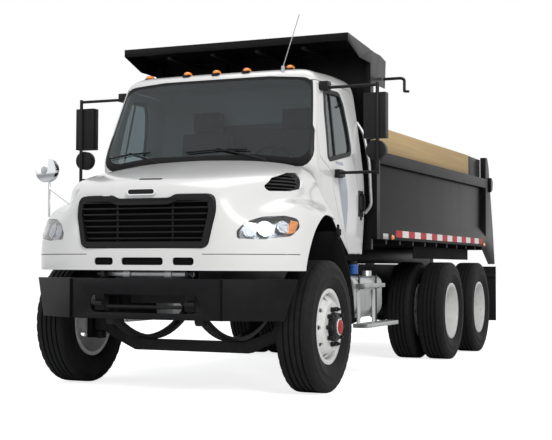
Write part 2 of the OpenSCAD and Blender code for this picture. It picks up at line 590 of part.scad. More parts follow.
// Lug from the hood's lower front down to the pin on the frame's horn.
module hood_lug() difference() {
    slab_x(hood_lug_x, hood_lug_x + 20) polygon(rounded([[hood_pin.x - 22, hood_pin.y - 20],
        [hood_pin.x + 22, hood_pin.y - 20], [hood_pin.x + 22, hood_bottom + 30],
        [nose_y + hood_wall, hood_bottom + 30], [nose_y + hood_wall, hood_bottom + 4]], [18, 18, 0, 0, 0]));
    along_x(hood_lug_x - 1, hood_lug_x + 21, hood_pin.x, hood_pin.y, hood_pin_r + fit);
}
module grille() color("#161718") placed() {
    difference() {
        slab_y(nose_y + 3, nose_y + 50) polygon(shrunk(grille_corners, grille_radii, seat));
        slab_y(nose_y, nose_y + 60) polygon(shrunk(grille_corners, grille_radii, 42));
    }
    for (i = [1:grille_bars]) let (z = 1167 + i * (1480 - 1167) / (grille_bars + 1))
        blk([-530, nose_y + 8, z - 7], [530, nose_y + 42, z + 7]);
    for (x = [-250, 250]) blk([x - 20, nose_y + 20, 1150], [x + 20, nose_y + 48, 1509]);
}
module headlights() color("#d8dde0") placed() intersection() {
    difference() { fender_block(2); fender_block(60); }
    both() slab_y(-900, -320) polygon(inset(lamp_line, seat));
}
// Round mirror on a post at the right-hand fender's front.
fender_mirror_c = [-1150, -450, 1790];
module fender_mirror() color("#c9ccd0") placed() {
    rod_between([-1150, -420, 1400], [-1150, -420, 1795], 9);
    rod_between([-1150, -420, 1640], [-905, -420, 1475], 8);
    along_y(-1150, fender_mirror_c.y - 30, fender_mirror_c.y + 26, fender_mirror_c.z, 98);
}

// ---- doors and door mirrors ----
module door(s) side(s) {
    difference() {
        intersection() {
            difference() { cab_block(0); cab_block(door_t); }
            door_zone(door_line);
        }
        door_zone(window_line);
    }
    // Hinge straps, the lower one long because the door's edge slants away from the pin.
    for (hinge_at = [[door_pins_z[0], 590], [door_pins_z[1], 350]])
        translate([0, 0, hinge_at.x - 20]) difference() {
            union() {
                translate([door_pin.x, door_pin.y, 0]) cylinder(h = 40, r = 11);
                linear_extrude(40) polygon([[door_pin.x - 8, door_pin.y], [door_pin.x + 8, door_pin.y],
                    [door_pin.x + 8, hinge_at.y], [door_pin.x - 52, hinge_at.y + 20], [door_pin.x - 52, hinge_at.y - 22],
                    [door_pin.x - 8, hinge_at.y - 40]]);
            }
            translate([door_pin.x, door_pin.y, -1]) cylinder(h = 42, r = door_pin_r + fit);
        }
}
module door_glass(s) side(s) intersection() {
    difference() { cab_block(14); cab_block(14 + glass_t); }
    door_zone(inset(window_line, seat));
}
module door_left() color("#ececea") placed() door(1);
module door_right() color("#ececea") placed() door(-1);
module door_glass_left() color("#2a3238") placed() door_glass(1);
module door_glass_right() color("#2a3238") placed() door_glass(-1);
arm_x = mirror_span / 2 - 65;
arm_y = 520;
module door_mirror(s) side(s) {
    // Brackets on the door, arms, and the upright tube that holds both heads.
    blk([belt - 135, 470, 2477], [belt - 60, 560, 2550]);
    blk([belt - 30, 570, 1742], [belt + 17, 660, 1812]);
    blk([belt + 7, 498, 1751], [belt + 37, 652, 1803]);
    rod_between([belt - 80, arm_y, 2500], [arm_x, arm_y, 2500], 13);
    rod_between([belt + 22, arm_y, 1777], [arm_x, arm_y, 1777], 13);
    rod_between([arm_x, arm_y, 1757], [arm_x, arm_y, 2520], 15);
    blk([arm_x - 125, arm_y + 14, 2060], [arm_x + 65, arm_y + 95, 2440]);
    translate([arm_x - 20, arm_y + 80, 1960]) rotate([90, 0, 0]) cylinder(h = 66, r = 84);
}
module mirror_left() color("#17181a") placed() door_mirror(1);
module mirror_right() color("#17181a") placed() door_mirror(-1);

// ---- dump body ----
bed_rear = tail_y;
bed_front_y = bed_rear - bed_l;
sheet_x = bed_sheet_w / 2;
bed_x = bed_w / 2;
rail_rise = 40;                             // the top rails climb towards the rear
post_y = 5790;
board_end = post_y - 612;
pocket_z = 2318;
gate_pin = [6035, 2035];                    // tailgate hinge, (y, z)
gate_pin_r = 16;
gate_foot = [6235, 1260];
gate_head = [6000, 2078];
floor_rear = bed_rear - 160;
sill_z = [frame_top + 8, 1205];
cross_z = [sill_z[1] + seat, floor_z - sheet_t - seat];
module bed_floor() color("#121213") placed()
    blk([-sheet_x + sheet_t, bed_front_y + 90, floor_z - sheet_t], [sheet_x - sheet_t, floor_rear, floor_z]);
module bed_crossmembers() color("#121213") placed() {
    for (i = [0:10]) let (y = bed_front_y + 110 + i * (bed_l - 350) / 10)
        blk([-sheet_x + 40, y, cross_z[0]], [sheet_x - 40, y + 60, cross_z[1]]);
    // Cheeks on either side of the hoist's eye, and the beam behind them.
    both() slab_x(75, 93) polygon([[hoist_eye.x - 70, hoist_eye.y - 60], [hoist_eye.x + 70, hoist_eye.y - 60],
        [hoist_eye.x + 150, cross_z[1]], [hoist_eye.x - 150, cross_z[1]]]);
    blk([-rail_in - 10, hoist_eye.x + 90, cross_z[0]], [rail_in + 10, hoist_eye.x + 150, cross_z[1]]);
}
module bed_sills() color("#121213") placed() both() difference() {
    union() {
        blk([rail_in, bed_front_y + 100, sill_z[0]], [rail_x, hinge.x - 100, sill_z[1]]);
        // Hinge ears between the frame's cheeks.
        slab_x(rail_in + 30, rail_in + 50) polygon([[hinge.x - 46, hinge.y], [hinge.x - 32, hinge.y - 34],
            [hinge.x, hinge.y - 46], [hinge.x + 32, hinge.y - 34], [hinge.x + 46, hinge.y],
            [hinge.x + 90, cross_z[1]], [hinge.x - 90, cross_z[1]], [hinge.x - 90, sill_z[1] - 1],
            [hinge.x - 110, sill_z[1] - 1], [hinge.x - 110, sill_z[1] - 55]]);
    }
    along_x(rail_in + 29, rail_in + 51, hinge.x, hinge.y, bed_pin_r + fit);
}
module bed_sides() color("#121213") placed() both() {
    // Side sheet with the lower rub rail and its sloped shedder.
    slab_y(bed_front_y + 90, post_y) polygon([[bed_x, 1245], [bed_x, 1365], [sheet_x, 1483],
        [sheet_x, 1990], [sheet_x - sheet_t, 1990], [sheet_x - sheet_t, 1245]]);
    slab_x(sheet_x - 12, bed_x) polygon([[bed_front_y + 90, rail_top - 110], [post_y, rail_top + rail_rise - 110],
        [post_y, rail_top + rail_rise], [bed_front_y + 90, rail_top]]);
    // Rear post with its foot, and the pocket plate in front of it.
    slab_x(sheet_x - sheet_t, bed_x) polygon([[post_y, 1245], [6205, 1030], [bed_rear, 1030], [6190, 1449],
        [5997, 2100], [5965, 2230], [5885, 2345], [post_y, 2345]]);
    slab_x(sheet_x - 24, sheet_x - 12) polygon([[board_end + 2, rail_top - 20], [post_y, rail_top - 20],
        [post_y, pocket_z], [board_end + 2, pocket_z]]);
    // Bracket and pin of the tailgate's upper hinge.
    slab_x(sheet_x - sheet_t, bed_x + 28) polygon([[gate_pin.x - 70, 1925], [gate_pin.x + 20, 1960],
        [gate_pin.x + 38, gate_pin.y + 20], [gate_pin.x - 20, 2105], [gate_pin.x - 70, 2105]]);
    along_x(sheet_x - sheet_t - 50, sheet_x, gate_pin.x, gate_pin.y, gate_pin_r);
}
shield_y = 733;
module bed_front() color("#121213") placed() {
    // Bulkhead with its posts, and the cab shield with its turned-down edges.
    blk([-sheet_x + sheet_t, bed_front_y + 60, 1150], [sheet_x - sheet_t, bed_front_y + 90, shield_z - 60]);
    both() for (x = [340, sheet_x - 70]) blk([x, bed_front_y, 1150], [x + 70, bed_front_y + 60, shield_z - 70]);
    both() blk([sheet_x - sheet_t, bed_front_y, 1245], [bed_x, bed_front_y + 90, rail_top]);
    both() blk([sheet_x - sheet_t, bed_front_y, rail_top], [sheet_x, bed_front_y + 90, shield_z - 45]);
    slab_x(-sheet_x + sheet_t, sheet_x - sheet_t) polygon([[shield_y, shield_z - 66], [shield_y + 8, shield_z - 66],
        [shield_y + 8, shield_z - 8], [bed_front_y + 90, shield_z - 53], [bed_front_y + 90, shield_z - 45],
        [shield_y + 8, shield_z], [shield_y, shield_z]]);
    both() slab_x(sheet_x - sheet_t, sheet_x) polygon([[shield_y, shield_z - 66], [1050, shield_z - 165],
        [bed_front_y, shield_z - 165], [bed_front_y, shield_z - 41], [shield_y + 8, shield_z], [shield_y, shield_z]]);
    both() slab_x(sheet_x - sheet_t, sheet_x) polygon([[bed_front_y + 90, 2660], [1800, 2660],
        [1828, 2920], [1650, 2950], [bed_front_y + 90, 2950]]);
}
board_x = sheet_x - 12 - seat;
module sideboards() color("#d9b876") placed() both() slab_x(board_x - 38, board_x)
    polygon([[bed_front_y + 90 + seat, rail_top - 60], [board_end, rail_top + rail_rise - 60],
        [board_end, rail_top + rail_rise + board_h], [bed_front_y + 90 + seat, rail_top + board_h]]);
roller = [1740, 2740];                      // tarp roller, (y, z)
module tarp_roller() color("#1b1c1d") placed() {
    along_x(-sheet_x + sheet_t + seat, sheet_x - sheet_t - seat, roller.x, roller.y, 46);
}

// ---- tailgate ----
// A leaning panel between the rear posts, hung from ears at its top.
gate_x = sheet_x - sheet_t - 7;
module tailgate() color("#121213") placed() {
    difference() {
        union() {
            slab_x(-gate_x, gate_x) polygon([[gate_foot.x - gate_t, gate_foot.y], gate_foot, gate_head,
                [gate_head.x - gate_t, gate_head.y]]);
            for (z = [0.12, 0.5, 0.88]) let (c = gate_foot + z * (gate_head - gate_foot))
                slab_x(-gate_x, gate_x) polygon([c + [-20, -40], c + [34, -40], c + [18, 40], c + [-20, 40]]);
        }
        both() along_x(gate_x - 60, gate_x + 1, gate_pin.x, gate_pin.y, gate_pin_r + 8);
    }
    both() difference() {
        slab_x(gate_x - 38, gate_x - 18) polygon([[gate_pin.x - 60, gate_pin.y - 90],
            [gate_pin.x + 10, gate_pin.y - 60], [gate_pin.x + 36, gate_pin.y - 16], [gate_pin.x + 34, gate_pin.y + 20],
            [gate_pin.x + 12, gate_pin.y + 36], [gate_pin.x - 60, gate_pin.y + 20]]);
        along_x(gate_x - 39, gate_x - 17, gate_pin.x, gate_pin.y, gate_pin_r + fit);
    }
}

// ---- hoist ----
// Both parts are made along +Y from the lower pin, then leaned to reach the upper eye.
hoist_reach = hoist_eye - hoist_base;
hoist_len = norm(hoist_reach);
barrel_len = 1380;
rod_r = 62;
module leaned() translate([0, hoist_base.x, hoist_base.y])
    rotate([atan2(hoist_reach.y, hoist_reach.x), 0, 0]) children();
module hoist_barrel() color("#2b2c2f") placed() leaned() difference() {
    union() {
        along_x(-104, 104, 0, 0, 62);
        along_y(0, 40, barrel_len, 0, 95);
    }
    along_x(-105, 105, 0, 0, 30 + fit);
    along_y(0, 120, barrel_len + 1, 0, rod_r + fit);
}
module hoist_rod() color("#b9bcc0") placed() leaned() difference() {
    union() {
        along_y(0, 140, hoist_len - 40, 0, rod_r);
        along_x(-62, 62, hoist_len, 0, 60);
    }
    along_x(-63, 63, hoist_len, 0, 27);
}

frame();
frame_crossmembers();
front_bumper();
radiator();
engine();
driveshafts();
front_axle();
front_springs();
rear_axles();
rear_suspension();
fuel_tank();
battery_box();
side_steps();
splash_shields();
mudflaps();
cab();
cab_glass();
dashboard();
steering_wheel();
seats();
antenna();
hood();
grille();
headlights();
fender_mirror();
door_left();
door_right();
door_glass_left();
door_glass_right();
mirror_left();
mirror_right();
knuckle_left();
knuckle_right();
front_tyre_left();
front_tyre_right();
front_rim_left();
front_rim_right();
rear_tyres_left_1();
rear_tyres_right_1();
rear_tyres_left_2();
rear_tyres_right_2();
rear_rims_left_1();
rear_rims_right_1();
rear_rims_left_2();
rear_rims_right_2();
bed_floor();
bed_crossmembers();
bed_sills();
bed_sides();
bed_front();
sideboards();
tarp_roller();
tailgate();
hoist_barrel();
hoist_rod();
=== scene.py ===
"""Looks of a tandem-axle dump truck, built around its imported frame, piece by piece."""
import json
import math
import bmesh
import bpy
from mathutils import Matrix, Vector
from mathutils.bvhtree import BVHTree

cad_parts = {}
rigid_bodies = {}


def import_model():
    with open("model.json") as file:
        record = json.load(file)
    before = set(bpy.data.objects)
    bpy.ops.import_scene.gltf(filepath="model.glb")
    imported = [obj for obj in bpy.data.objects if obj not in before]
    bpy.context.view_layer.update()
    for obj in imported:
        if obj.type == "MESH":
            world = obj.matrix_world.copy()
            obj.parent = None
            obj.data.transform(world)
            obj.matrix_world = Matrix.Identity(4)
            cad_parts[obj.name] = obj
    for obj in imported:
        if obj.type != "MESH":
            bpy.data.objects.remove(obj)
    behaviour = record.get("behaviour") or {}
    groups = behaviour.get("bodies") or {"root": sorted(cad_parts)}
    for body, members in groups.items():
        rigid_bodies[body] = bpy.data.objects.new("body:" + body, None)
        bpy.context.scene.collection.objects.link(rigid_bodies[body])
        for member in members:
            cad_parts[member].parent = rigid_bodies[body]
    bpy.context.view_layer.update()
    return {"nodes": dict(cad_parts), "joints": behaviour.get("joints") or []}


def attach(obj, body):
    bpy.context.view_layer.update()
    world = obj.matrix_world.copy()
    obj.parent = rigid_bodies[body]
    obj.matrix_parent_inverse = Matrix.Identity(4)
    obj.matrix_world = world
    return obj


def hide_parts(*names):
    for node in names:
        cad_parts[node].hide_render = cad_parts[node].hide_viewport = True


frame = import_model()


# ---- Room ---------------------------------------------------------------------------------------
# A pale floor with a white surround, lit from high on the driver's side by a broad lamp,
# with a weak lamp on the other side and one from above.
joint_at = {joint["name"]: joint.get("pos_m") for joint in frame["joints"]}
front_axle_y = joint_at["steer_left"][1]
wheel_z = joint_at["steer_left"][2]


def from_axle(point):
    """A place measured from the front axle, in the frame's own coordinates."""
    return Vector((point[0], point[1] + front_axle_y, point[2]))


scene = bpy.context.scene
scene.view_settings.view_transform = "Standard"

camera_yaw = math.radians(24.22)
camera_rise = math.radians(2.60)
camera_roll = math.radians(0.25)
camera_data = bpy.data.cameras.new("camera")
camera_data.sensor_width = 36
camera_data.lens = 77.75
camera_data.shift_x = 0.069
camera_data.shift_y = -0.016
camera = bpy.data.objects.new("camera", camera_data)
camera.matrix_world = (Matrix.Translation(from_axle((4.399, -8.891, 1.001)))
                       @ Matrix.Rotation(camera_yaw, 4, "Z")
                       @ Matrix.Rotation(math.pi / 2 + camera_rise, 4, "X")
                       @ Matrix.Rotation(camera_roll, 4, "Z"))
scene.collection.objects.link(camera)
scene.camera = camera


def lamp(name, place, target, size, power, colour):
    data = bpy.data.lights.new(name, "AREA")
    data.shape = "DISK"
    data.size = size
    data.energy = power
    data.color = colour
    lamp_object = bpy.data.objects.new(name, data)
    direction = from_axle(target) - from_axle(place)
    turned = direction.to_track_quat("-Z", "Y").to_matrix().to_4x4()
    lamp_object.matrix_world = Matrix.Translation(from_axle(place)) @ turned
    scene.collection.objects.link(lamp_object)


lamp("key_lamp", (9.0, -9.0, 9.5), (0, 1.5, 1.2), 5.0, 1180, (1.0, 0.985, 0.96))
lamp("fill_lamp", (-9.0, -8.0, 5.0), (0, 0.5, 1.2), 6.0, 110, (0.93, 0.96, 1.0))
lamp("top_lamp", (0, 3.0, 11.0), (0, 2.0, 1.0), 8.0, 330, (1.0, 1.0, 1.0))

def put(node, **inputs):
    """Sets a node's inputs by their names, with underscores for the spaces in them."""
    for label, value in inputs.items():
        node.inputs[label.replace("_", " ")].default_value = value
    return node


world = bpy.data.worlds.new("surround")
scene.world = world
world.use_nodes = True
nodes, links = world.node_tree.nodes, world.node_tree.links
nodes.clear()
path = nodes.new("ShaderNodeLightPath")
seen = nodes.new("ShaderNodeMath")
seen.operation = "MAXIMUM"
seen_through = nodes.new("ShaderNodeMath")
seen_through.operation = "MAXIMUM"
white = put(nodes.new("ShaderNodeBackground"), Color=(1, 1, 1, 1), Strength=1.0)
soft = put(nodes.new("ShaderNodeBackground"), Color=(0.93, 0.96, 1.0, 1), Strength=0.30)
blend = nodes.new("ShaderNodeMixShader")
surround = nodes.new("ShaderNodeOutputWorld")
links.new(path.outputs["Is Camera Ray"], seen.inputs[0])
links.new(path.outputs["Is Glossy Ray"], seen.inputs[1])
links.new(seen.outputs[0], seen_through.inputs[0])
links.new(path.outputs["Is Transmission Ray"], seen_through.inputs[1])
links.new(seen_through.outputs[0], blend.inputs["Fac"])
links.new(soft.outputs[0], blend.inputs[1])
links.new(white.outputs[0], blend.inputs[2])
links.new(blend.outputs[0], surround.inputs["Surface"])

floor_mesh = bmesh.new()
bmesh.ops.create_circle(floor_mesh, cap_ends=True, segments=96, radius=60)
floor_data = bpy.data.meshes.new("floor")
floor_mesh.to_mesh(floor_data)
floor_mesh.free()
floor = bpy.data.objects.new("floor", floor_data)
scene.collection.objects.link(floor)
floor_paint = bpy.data.materials.new("floor_paint")
floor_paint.use_nodes = True
floor_shader = floor_paint.node_tree.nodes["Principled BSDF"]
put(floor_shader, Base_Color=(0.93, 0.93, 0.93, 1), Roughness=0.95, Specular_IOR_Level=0.1,
    Emission_Color=(1, 1, 1, 1))
floor_path = floor_paint.node_tree.nodes.new("ShaderNodeLightPath")
floor_glow = floor_paint.node_tree.nodes.new("ShaderNodeMath")
floor_glow.operation = "MULTIPLY"
floor_glow.inputs[1].default_value = 0.80
floor_paint.node_tree.links.new(floor_path.outputs["Is Camera Ray"], floor_glow.inputs[0])
floor_paint.node_tree.links.new(floor_glow.outputs[0], floor_shader.inputs["Emission Strength"])
floor_data.materials.append(floor_paint)


# ---- Chassis frame ------------------------------------------------------------------------------
# Two pressed steel channels with crossmembers, painted satin black. The paint is dusty where
# road dirt settles.
def finish(name, colour, rough, spread=0.12, scale=6.0, metal=0.0, bump=0.0, bump_scale=220.0, coat=0.0,
           dust=None, streaks=False, specular=0.5):
    """A painted, moulded or bare surface: its colour, how that varies, and the grain in it."""
    made = bpy.data.materials.new(name)
    made.use_nodes = True
    tree = made.node_tree
    link = tree.links.new

    def add(kind, **inputs):
        return put(tree.nodes.new("ShaderNode" + kind), **inputs)

    shader = put(tree.nodes["Principled BSDF"], Metallic=metal, Coat_Weight=coat, Coat_Roughness=0.06,
                 Specular_IOR_Level=specular)
    where = add("TexCoord")
    stretch = add("Mapping", Scale=(1, 1, 0.18) if streaks else (1, 1, 1))
    link(where.outputs["Object"], stretch.inputs["Vector"])
    patches = add("TexNoise", Scale=scale, Detail=6, Roughness=0.6)
    link(stretch.outputs["Vector"], patches.inputs["Vector"])
    tones = add("ValToRGB")
    low, high = tones.color_ramp.elements
    low.position, high.position = 0.3, 0.72
    low.color = (*[c * (1 - spread) for c in colour], 1)
    high.color = (*[min(1, c * (1 + spread)) for c in colour], 1)
    link(patches.outputs["Fac"], tones.inputs["Fac"])
    tint = tones.outputs["Color"]
    if dust:
        settle = add("TexNoise", Scale=scale * 2.3, Detail=8)
        link(where.outputs["Object"], settle.inputs["Vector"])
        amount = add("MapRange", From_Min=0.52, From_Max=0.8, To_Max=0.55)
        link(settle.outputs["Fac"], amount.inputs["Value"])
        mix = add("Mix")
        mix.data_type = "RGBA"
        mix.inputs["B"].default_value = (*dust, 1)
        link(amount.outputs["Result"], mix.inputs["Factor"])
        link(tint, mix.inputs["A"])
        tint = mix.outputs["Result"]
    link(tint, shader.inputs["Base Color"])
    gloss = add("MapRange", To_Min=max(0.03, rough * 0.8), To_Max=min(1.0, rough * 1.25))
    link(patches.outputs["Fac"], gloss.inputs["Value"])
    link(gloss.outputs["Result"], shader.inputs["Roughness"])
    if bump:
        grain = add("TexNoise", Scale=bump_scale, Detail=3)
        link(where.outputs["Object"], grain.inputs["Vector"])
        raised = add("Bump", Strength=bump, Distance=0.001)
        link(grain.outputs["Fac"], raised.inputs["Height"])
        link(raised.outputs["Normal"], shader.inputs["Normal"])
    return made


def dress(name, material, round_edge=0.0, smooth_under=32):
    """Gives a CAD piece its finish, small rounds on its edges and smooth curves."""
    piece = frame["nodes"][name]
    piece.data.materials.clear()
    piece.data.materials.append(material)
    for face in piece.data.polygons:
        face.use_smooth = True
    weld = piece.modifiers.new("weld", "WELD")
    weld.merge_threshold = 0.00005
    if round_edge:
        rounds = piece.modifiers.new("rounds", "BEVEL")
        rounds.width = round_edge
        rounds.segments = 2
        rounds.limit_method = "ANGLE"
        rounds.angle_limit = math.radians(42)
    creases = piece.modifiers.new("creases", "EDGE_SPLIT")
    creases.split_angle = math.radians(smooth_under)
    return piece


chassis_paint = finish("chassis_paint", (0.014, 0.014, 0.016), 0.42, spread=0.25, scale=4, bump=0.15,
                       specular=0.15, dust=(0.040, 0.036, 0.030))
dress("frame", chassis_paint, 0.004)


def place(mesh, name, material, body, slot, smooth_under=32):
    """Turns a modelled shape, measured from the front axle, into a piece that rides on a body."""
    bmesh.ops.translate(mesh, vec=(0, front_axle_y, 0), verts=mesh.verts)
    data = bpy.data.meshes.new(name)
    mesh.to_mesh(data)
    mesh.free()
    for face in data.polygons:
        face.use_smooth = True
    data.set_sharp_from_angle(angle=math.radians(smooth_under))
    piece = bpy.data.objects.new(name, data)
    scene.collection.objects.link(piece)
    for each in material if isinstance(material, (list, tuple)) else [material]:
        data.materials.append(each)
    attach(piece, body)
    return piece


def unique(items):
    """The items without repeats, in the order in which they first come."""
    return list(dict.fromkeys(items))


def block(mesh, low, high, round_edge=0.0, segments=2):
    """A box between two corners, with rounded edges."""
    low, high = Vector(low), Vector(high)
    made = bmesh.ops.create_cube(mesh, size=1)["verts"]
    bmesh.ops.scale(mesh, vec=high - low, verts=made)
    bmesh.ops.translate(mesh, vec=(low + high) / 2, verts=made)
    if round_edge:
        edges = unique(edge for vert in made for edge in vert.link_edges)
        made = bmesh.ops.bevel(mesh, geom=edges, offset=round_edge, segments=segments, affect="EDGES",
                               profile=0.5, material=-1)["verts"]
    return made


def drum(mesh, start, end, radius, end_radius=None, segments=32):
    """A round bar or cone from one point to another."""
    start, end = Vector(start), Vector(end)
    along = end - start
    made = bmesh.ops.create_cone(mesh, cap_ends=True, segments=segments, radius1=radius,
                                 radius2=radius if end_radius is None else end_radius,
                                 depth=along.length)["verts"]
    turn = along.to_track_quat("Z", "Y").to_matrix().to_4x4()
    bmesh.ops.transform(mesh, matrix=Matrix.Translation((start + end) / 2) @ turn, verts=made)
    return made


def pipe(mesh, points, radius, segments=12, bend=0.0):
    """A bent bar along a line of points, its corners rounded to a bend radius."""
    route = [Vector(point) for point in points]
    if bend:
        eased = [route[0]]
        for before, corner, after in zip(route, route[1:], route[2:]):
            back, ahead = (before - corner), (after - corner)
            reach = min(bend, back.length * 0.45, ahead.length * 0.45)
            enter, leave = corner + back.normalized() * reach, corner + ahead.normalized() * reach
            for step in range(7):
                t = step / 6
                eased.append(enter * (1 - t) ** 2 + corner * 2 * t * (1 - t) + leave * t ** 2)
        route = eased + [route[-1]]
    line = bpy.data.curves.new("line", "CURVE")
    line.dimensions = "3D"
    line.bevel_depth = radius
    line.bevel_resolution = max(1, segments // 4)
    line.use_fill_caps = True
    spline = line.splines.new("POLY")
    spline.points.add(len(route) - 1)
    for point, spot in zip(spline.points, route):
        point.co = (*spot, 1)
    holder = bpy.data.objects.new("line", line)
    scene.collection.objects.link(holder)
    solid = holder.to_mesh()
    before = len(mesh.verts)
    mesh.from_mesh(solid)
    holder.to_mesh_clear()
    bpy.data.objects.remove(holder)
    bpy.data.curves.remove(line)
    mesh.verts.ensure_lookup_table()
    return mesh.verts[before:]


def plate(mesh, outline, axis, low, high):
    """A flat outline given thickness along an axis: (y, z) along x, (x, z) along y, (x, y) along z."""
    def spot(point, depth):
        return {"x": (depth, point[0], point[1]), "y": (point[0], depth, point[1]),
                "z": (point[0], point[1], depth)}[axis]
    ring = [mesh.verts.new(spot(point, low)) for point in outline]
    face = mesh.faces.new(ring)
    grown = bmesh.ops.extrude_face_region(mesh, geom=[face])["geom"]
    risen = [item for item in grown if isinstance(item, bmesh.types.BMVert)]
    along = {"x": (1, 0, 0), "y": (0, 1, 0), "z": (0, 0, 1)}[axis]
    bmesh.ops.translate(mesh, vec=Vector(along) * (high - low), verts=risen)
    faces = unique(face for vert in ring + risen for face in vert.link_faces)
    bmesh.ops.recalc_face_normals(mesh, faces=faces)
    return ring + risen


def rounded(points, radii, steps=5):
    """An outline with each corner rounded to its own radius."""
    outline = []
    for i, corner in enumerate(points):
        corner = Vector(corner)
        radius = radii[i] if isinstance(radii, (list, tuple)) else radii
        before, after = Vector(points[i - 1]), Vector(points[(i + 1) % len(points)])
        back, ahead = (before - corner).normalized(), (after - corner).normalized()
        half = back.angle(ahead) / 2
        reach = min(radius / math.tan(half), (before - corner).length * 0.49, (after - corner).length * 0.49)
        if radius == 0 or reach < 1e-5:
            outline.append(corner)
            continue
        real = reach * math.tan(half)
        centre = corner + (back + ahead).normalized() * real / math.sin(half)
        first = corner + back * reach - centre
        last = corner + ahead * reach - centre
        turn = math.atan2(first.x * last.y - first.y * last.x, first.dot(last))
        for step in range(steps + 1):
            angle = turn * step / steps
            outline.append(centre + Vector((first.x * math.cos(angle) - first.y * math.sin(angle),
                                            first.x * math.sin(angle) + first.y * math.cos(angle))))
    return outline


def shrunk(outline, distance):
    """A counter-clockwise outline moved inwards."""
    moved = []
    for i, corner in enumerate(outline):
        corner = Vector(corner)
        back = (corner - Vector(outline[i - 1])).normalized()
        ahead = (Vector(outline[(i + 1) % len(outline)]) - corner).normalized()
        one, two = Vector((-back.y, back.x)), Vector((-ahead.y, ahead.x))
        moved.append(corner + (one + two) * distance / (1 + one.dot(two)))
    return moved


def cut(mesh, *cutters, operation="DIFFERENCE"):
    """Takes shapes away from another one after the other, or keeps only what they share."""
    holders = []
    for shape in (mesh, *cutters):
        data = bpy.data.meshes.new("shape")
        shape.to_mesh(data)
        shape.free()
        holder = bpy.data.objects.new("shape", data)
        scene.collection.objects.link(holder)
        holders.append(holder)
    for holder in holders[1:]:
        boolean = holders[0].modifiers.new("cut", "BOOLEAN")
        boolean.operation = operation
        boolean.solver = "EXACT"
        boolean.object = holder
    bpy.context.view_layer.update()
    solid = holders[0].evaluated_get(bpy.context.evaluated_depsgraph_get()).to_mesh()
    result = bmesh.new()
    result.from_mesh(solid)
    for holder in holders:
        data = holder.data
        bpy.data.objects.remove(holder)
        bpy.data.meshes.remove(data)
    return result


both_sides = (1, -1)
named_sides = ((1, "left"), (-1, "right"))


def mirror_x(mesh, verts=None):
    """Adds the mirror image across the truck's middle."""
    geometry = (verts or mesh.verts[:])
    faces = unique(face for vert in geometry for face in vert.link_faces)
    edges = unique(edge for face in faces for edge in face.edges)
    copy = bmesh.ops.duplicate(mesh, geom=list(geometry) + edges + faces)
    copied = [item for item in copy["geom"] if isinstance(item, bmesh.types.BMVert)]
    bmesh.ops.scale(mesh, vec=(-1, 1, 1), verts=copied)
    bmesh.ops.reverse_faces(mesh, faces=[item for item in copy["geom"] if isinstance(item, bmesh.types.BMFace)])


def boxes(name, material, body, slot, shapes, mirrored=False):
    """A piece made of boxes, each a low corner, a high corner, and a round edge and its steps if any."""
    mesh = bmesh.new()
    for shape in shapes:
        block(mesh, *shape)
    if mirrored:
        mirror_x(mesh)
    return place(mesh, name, material, body, slot)


def span(side, inner, outer):
    """Two distances from the truck's middle on one side, in rising order."""
    return sorted((side * inner, side * outer))


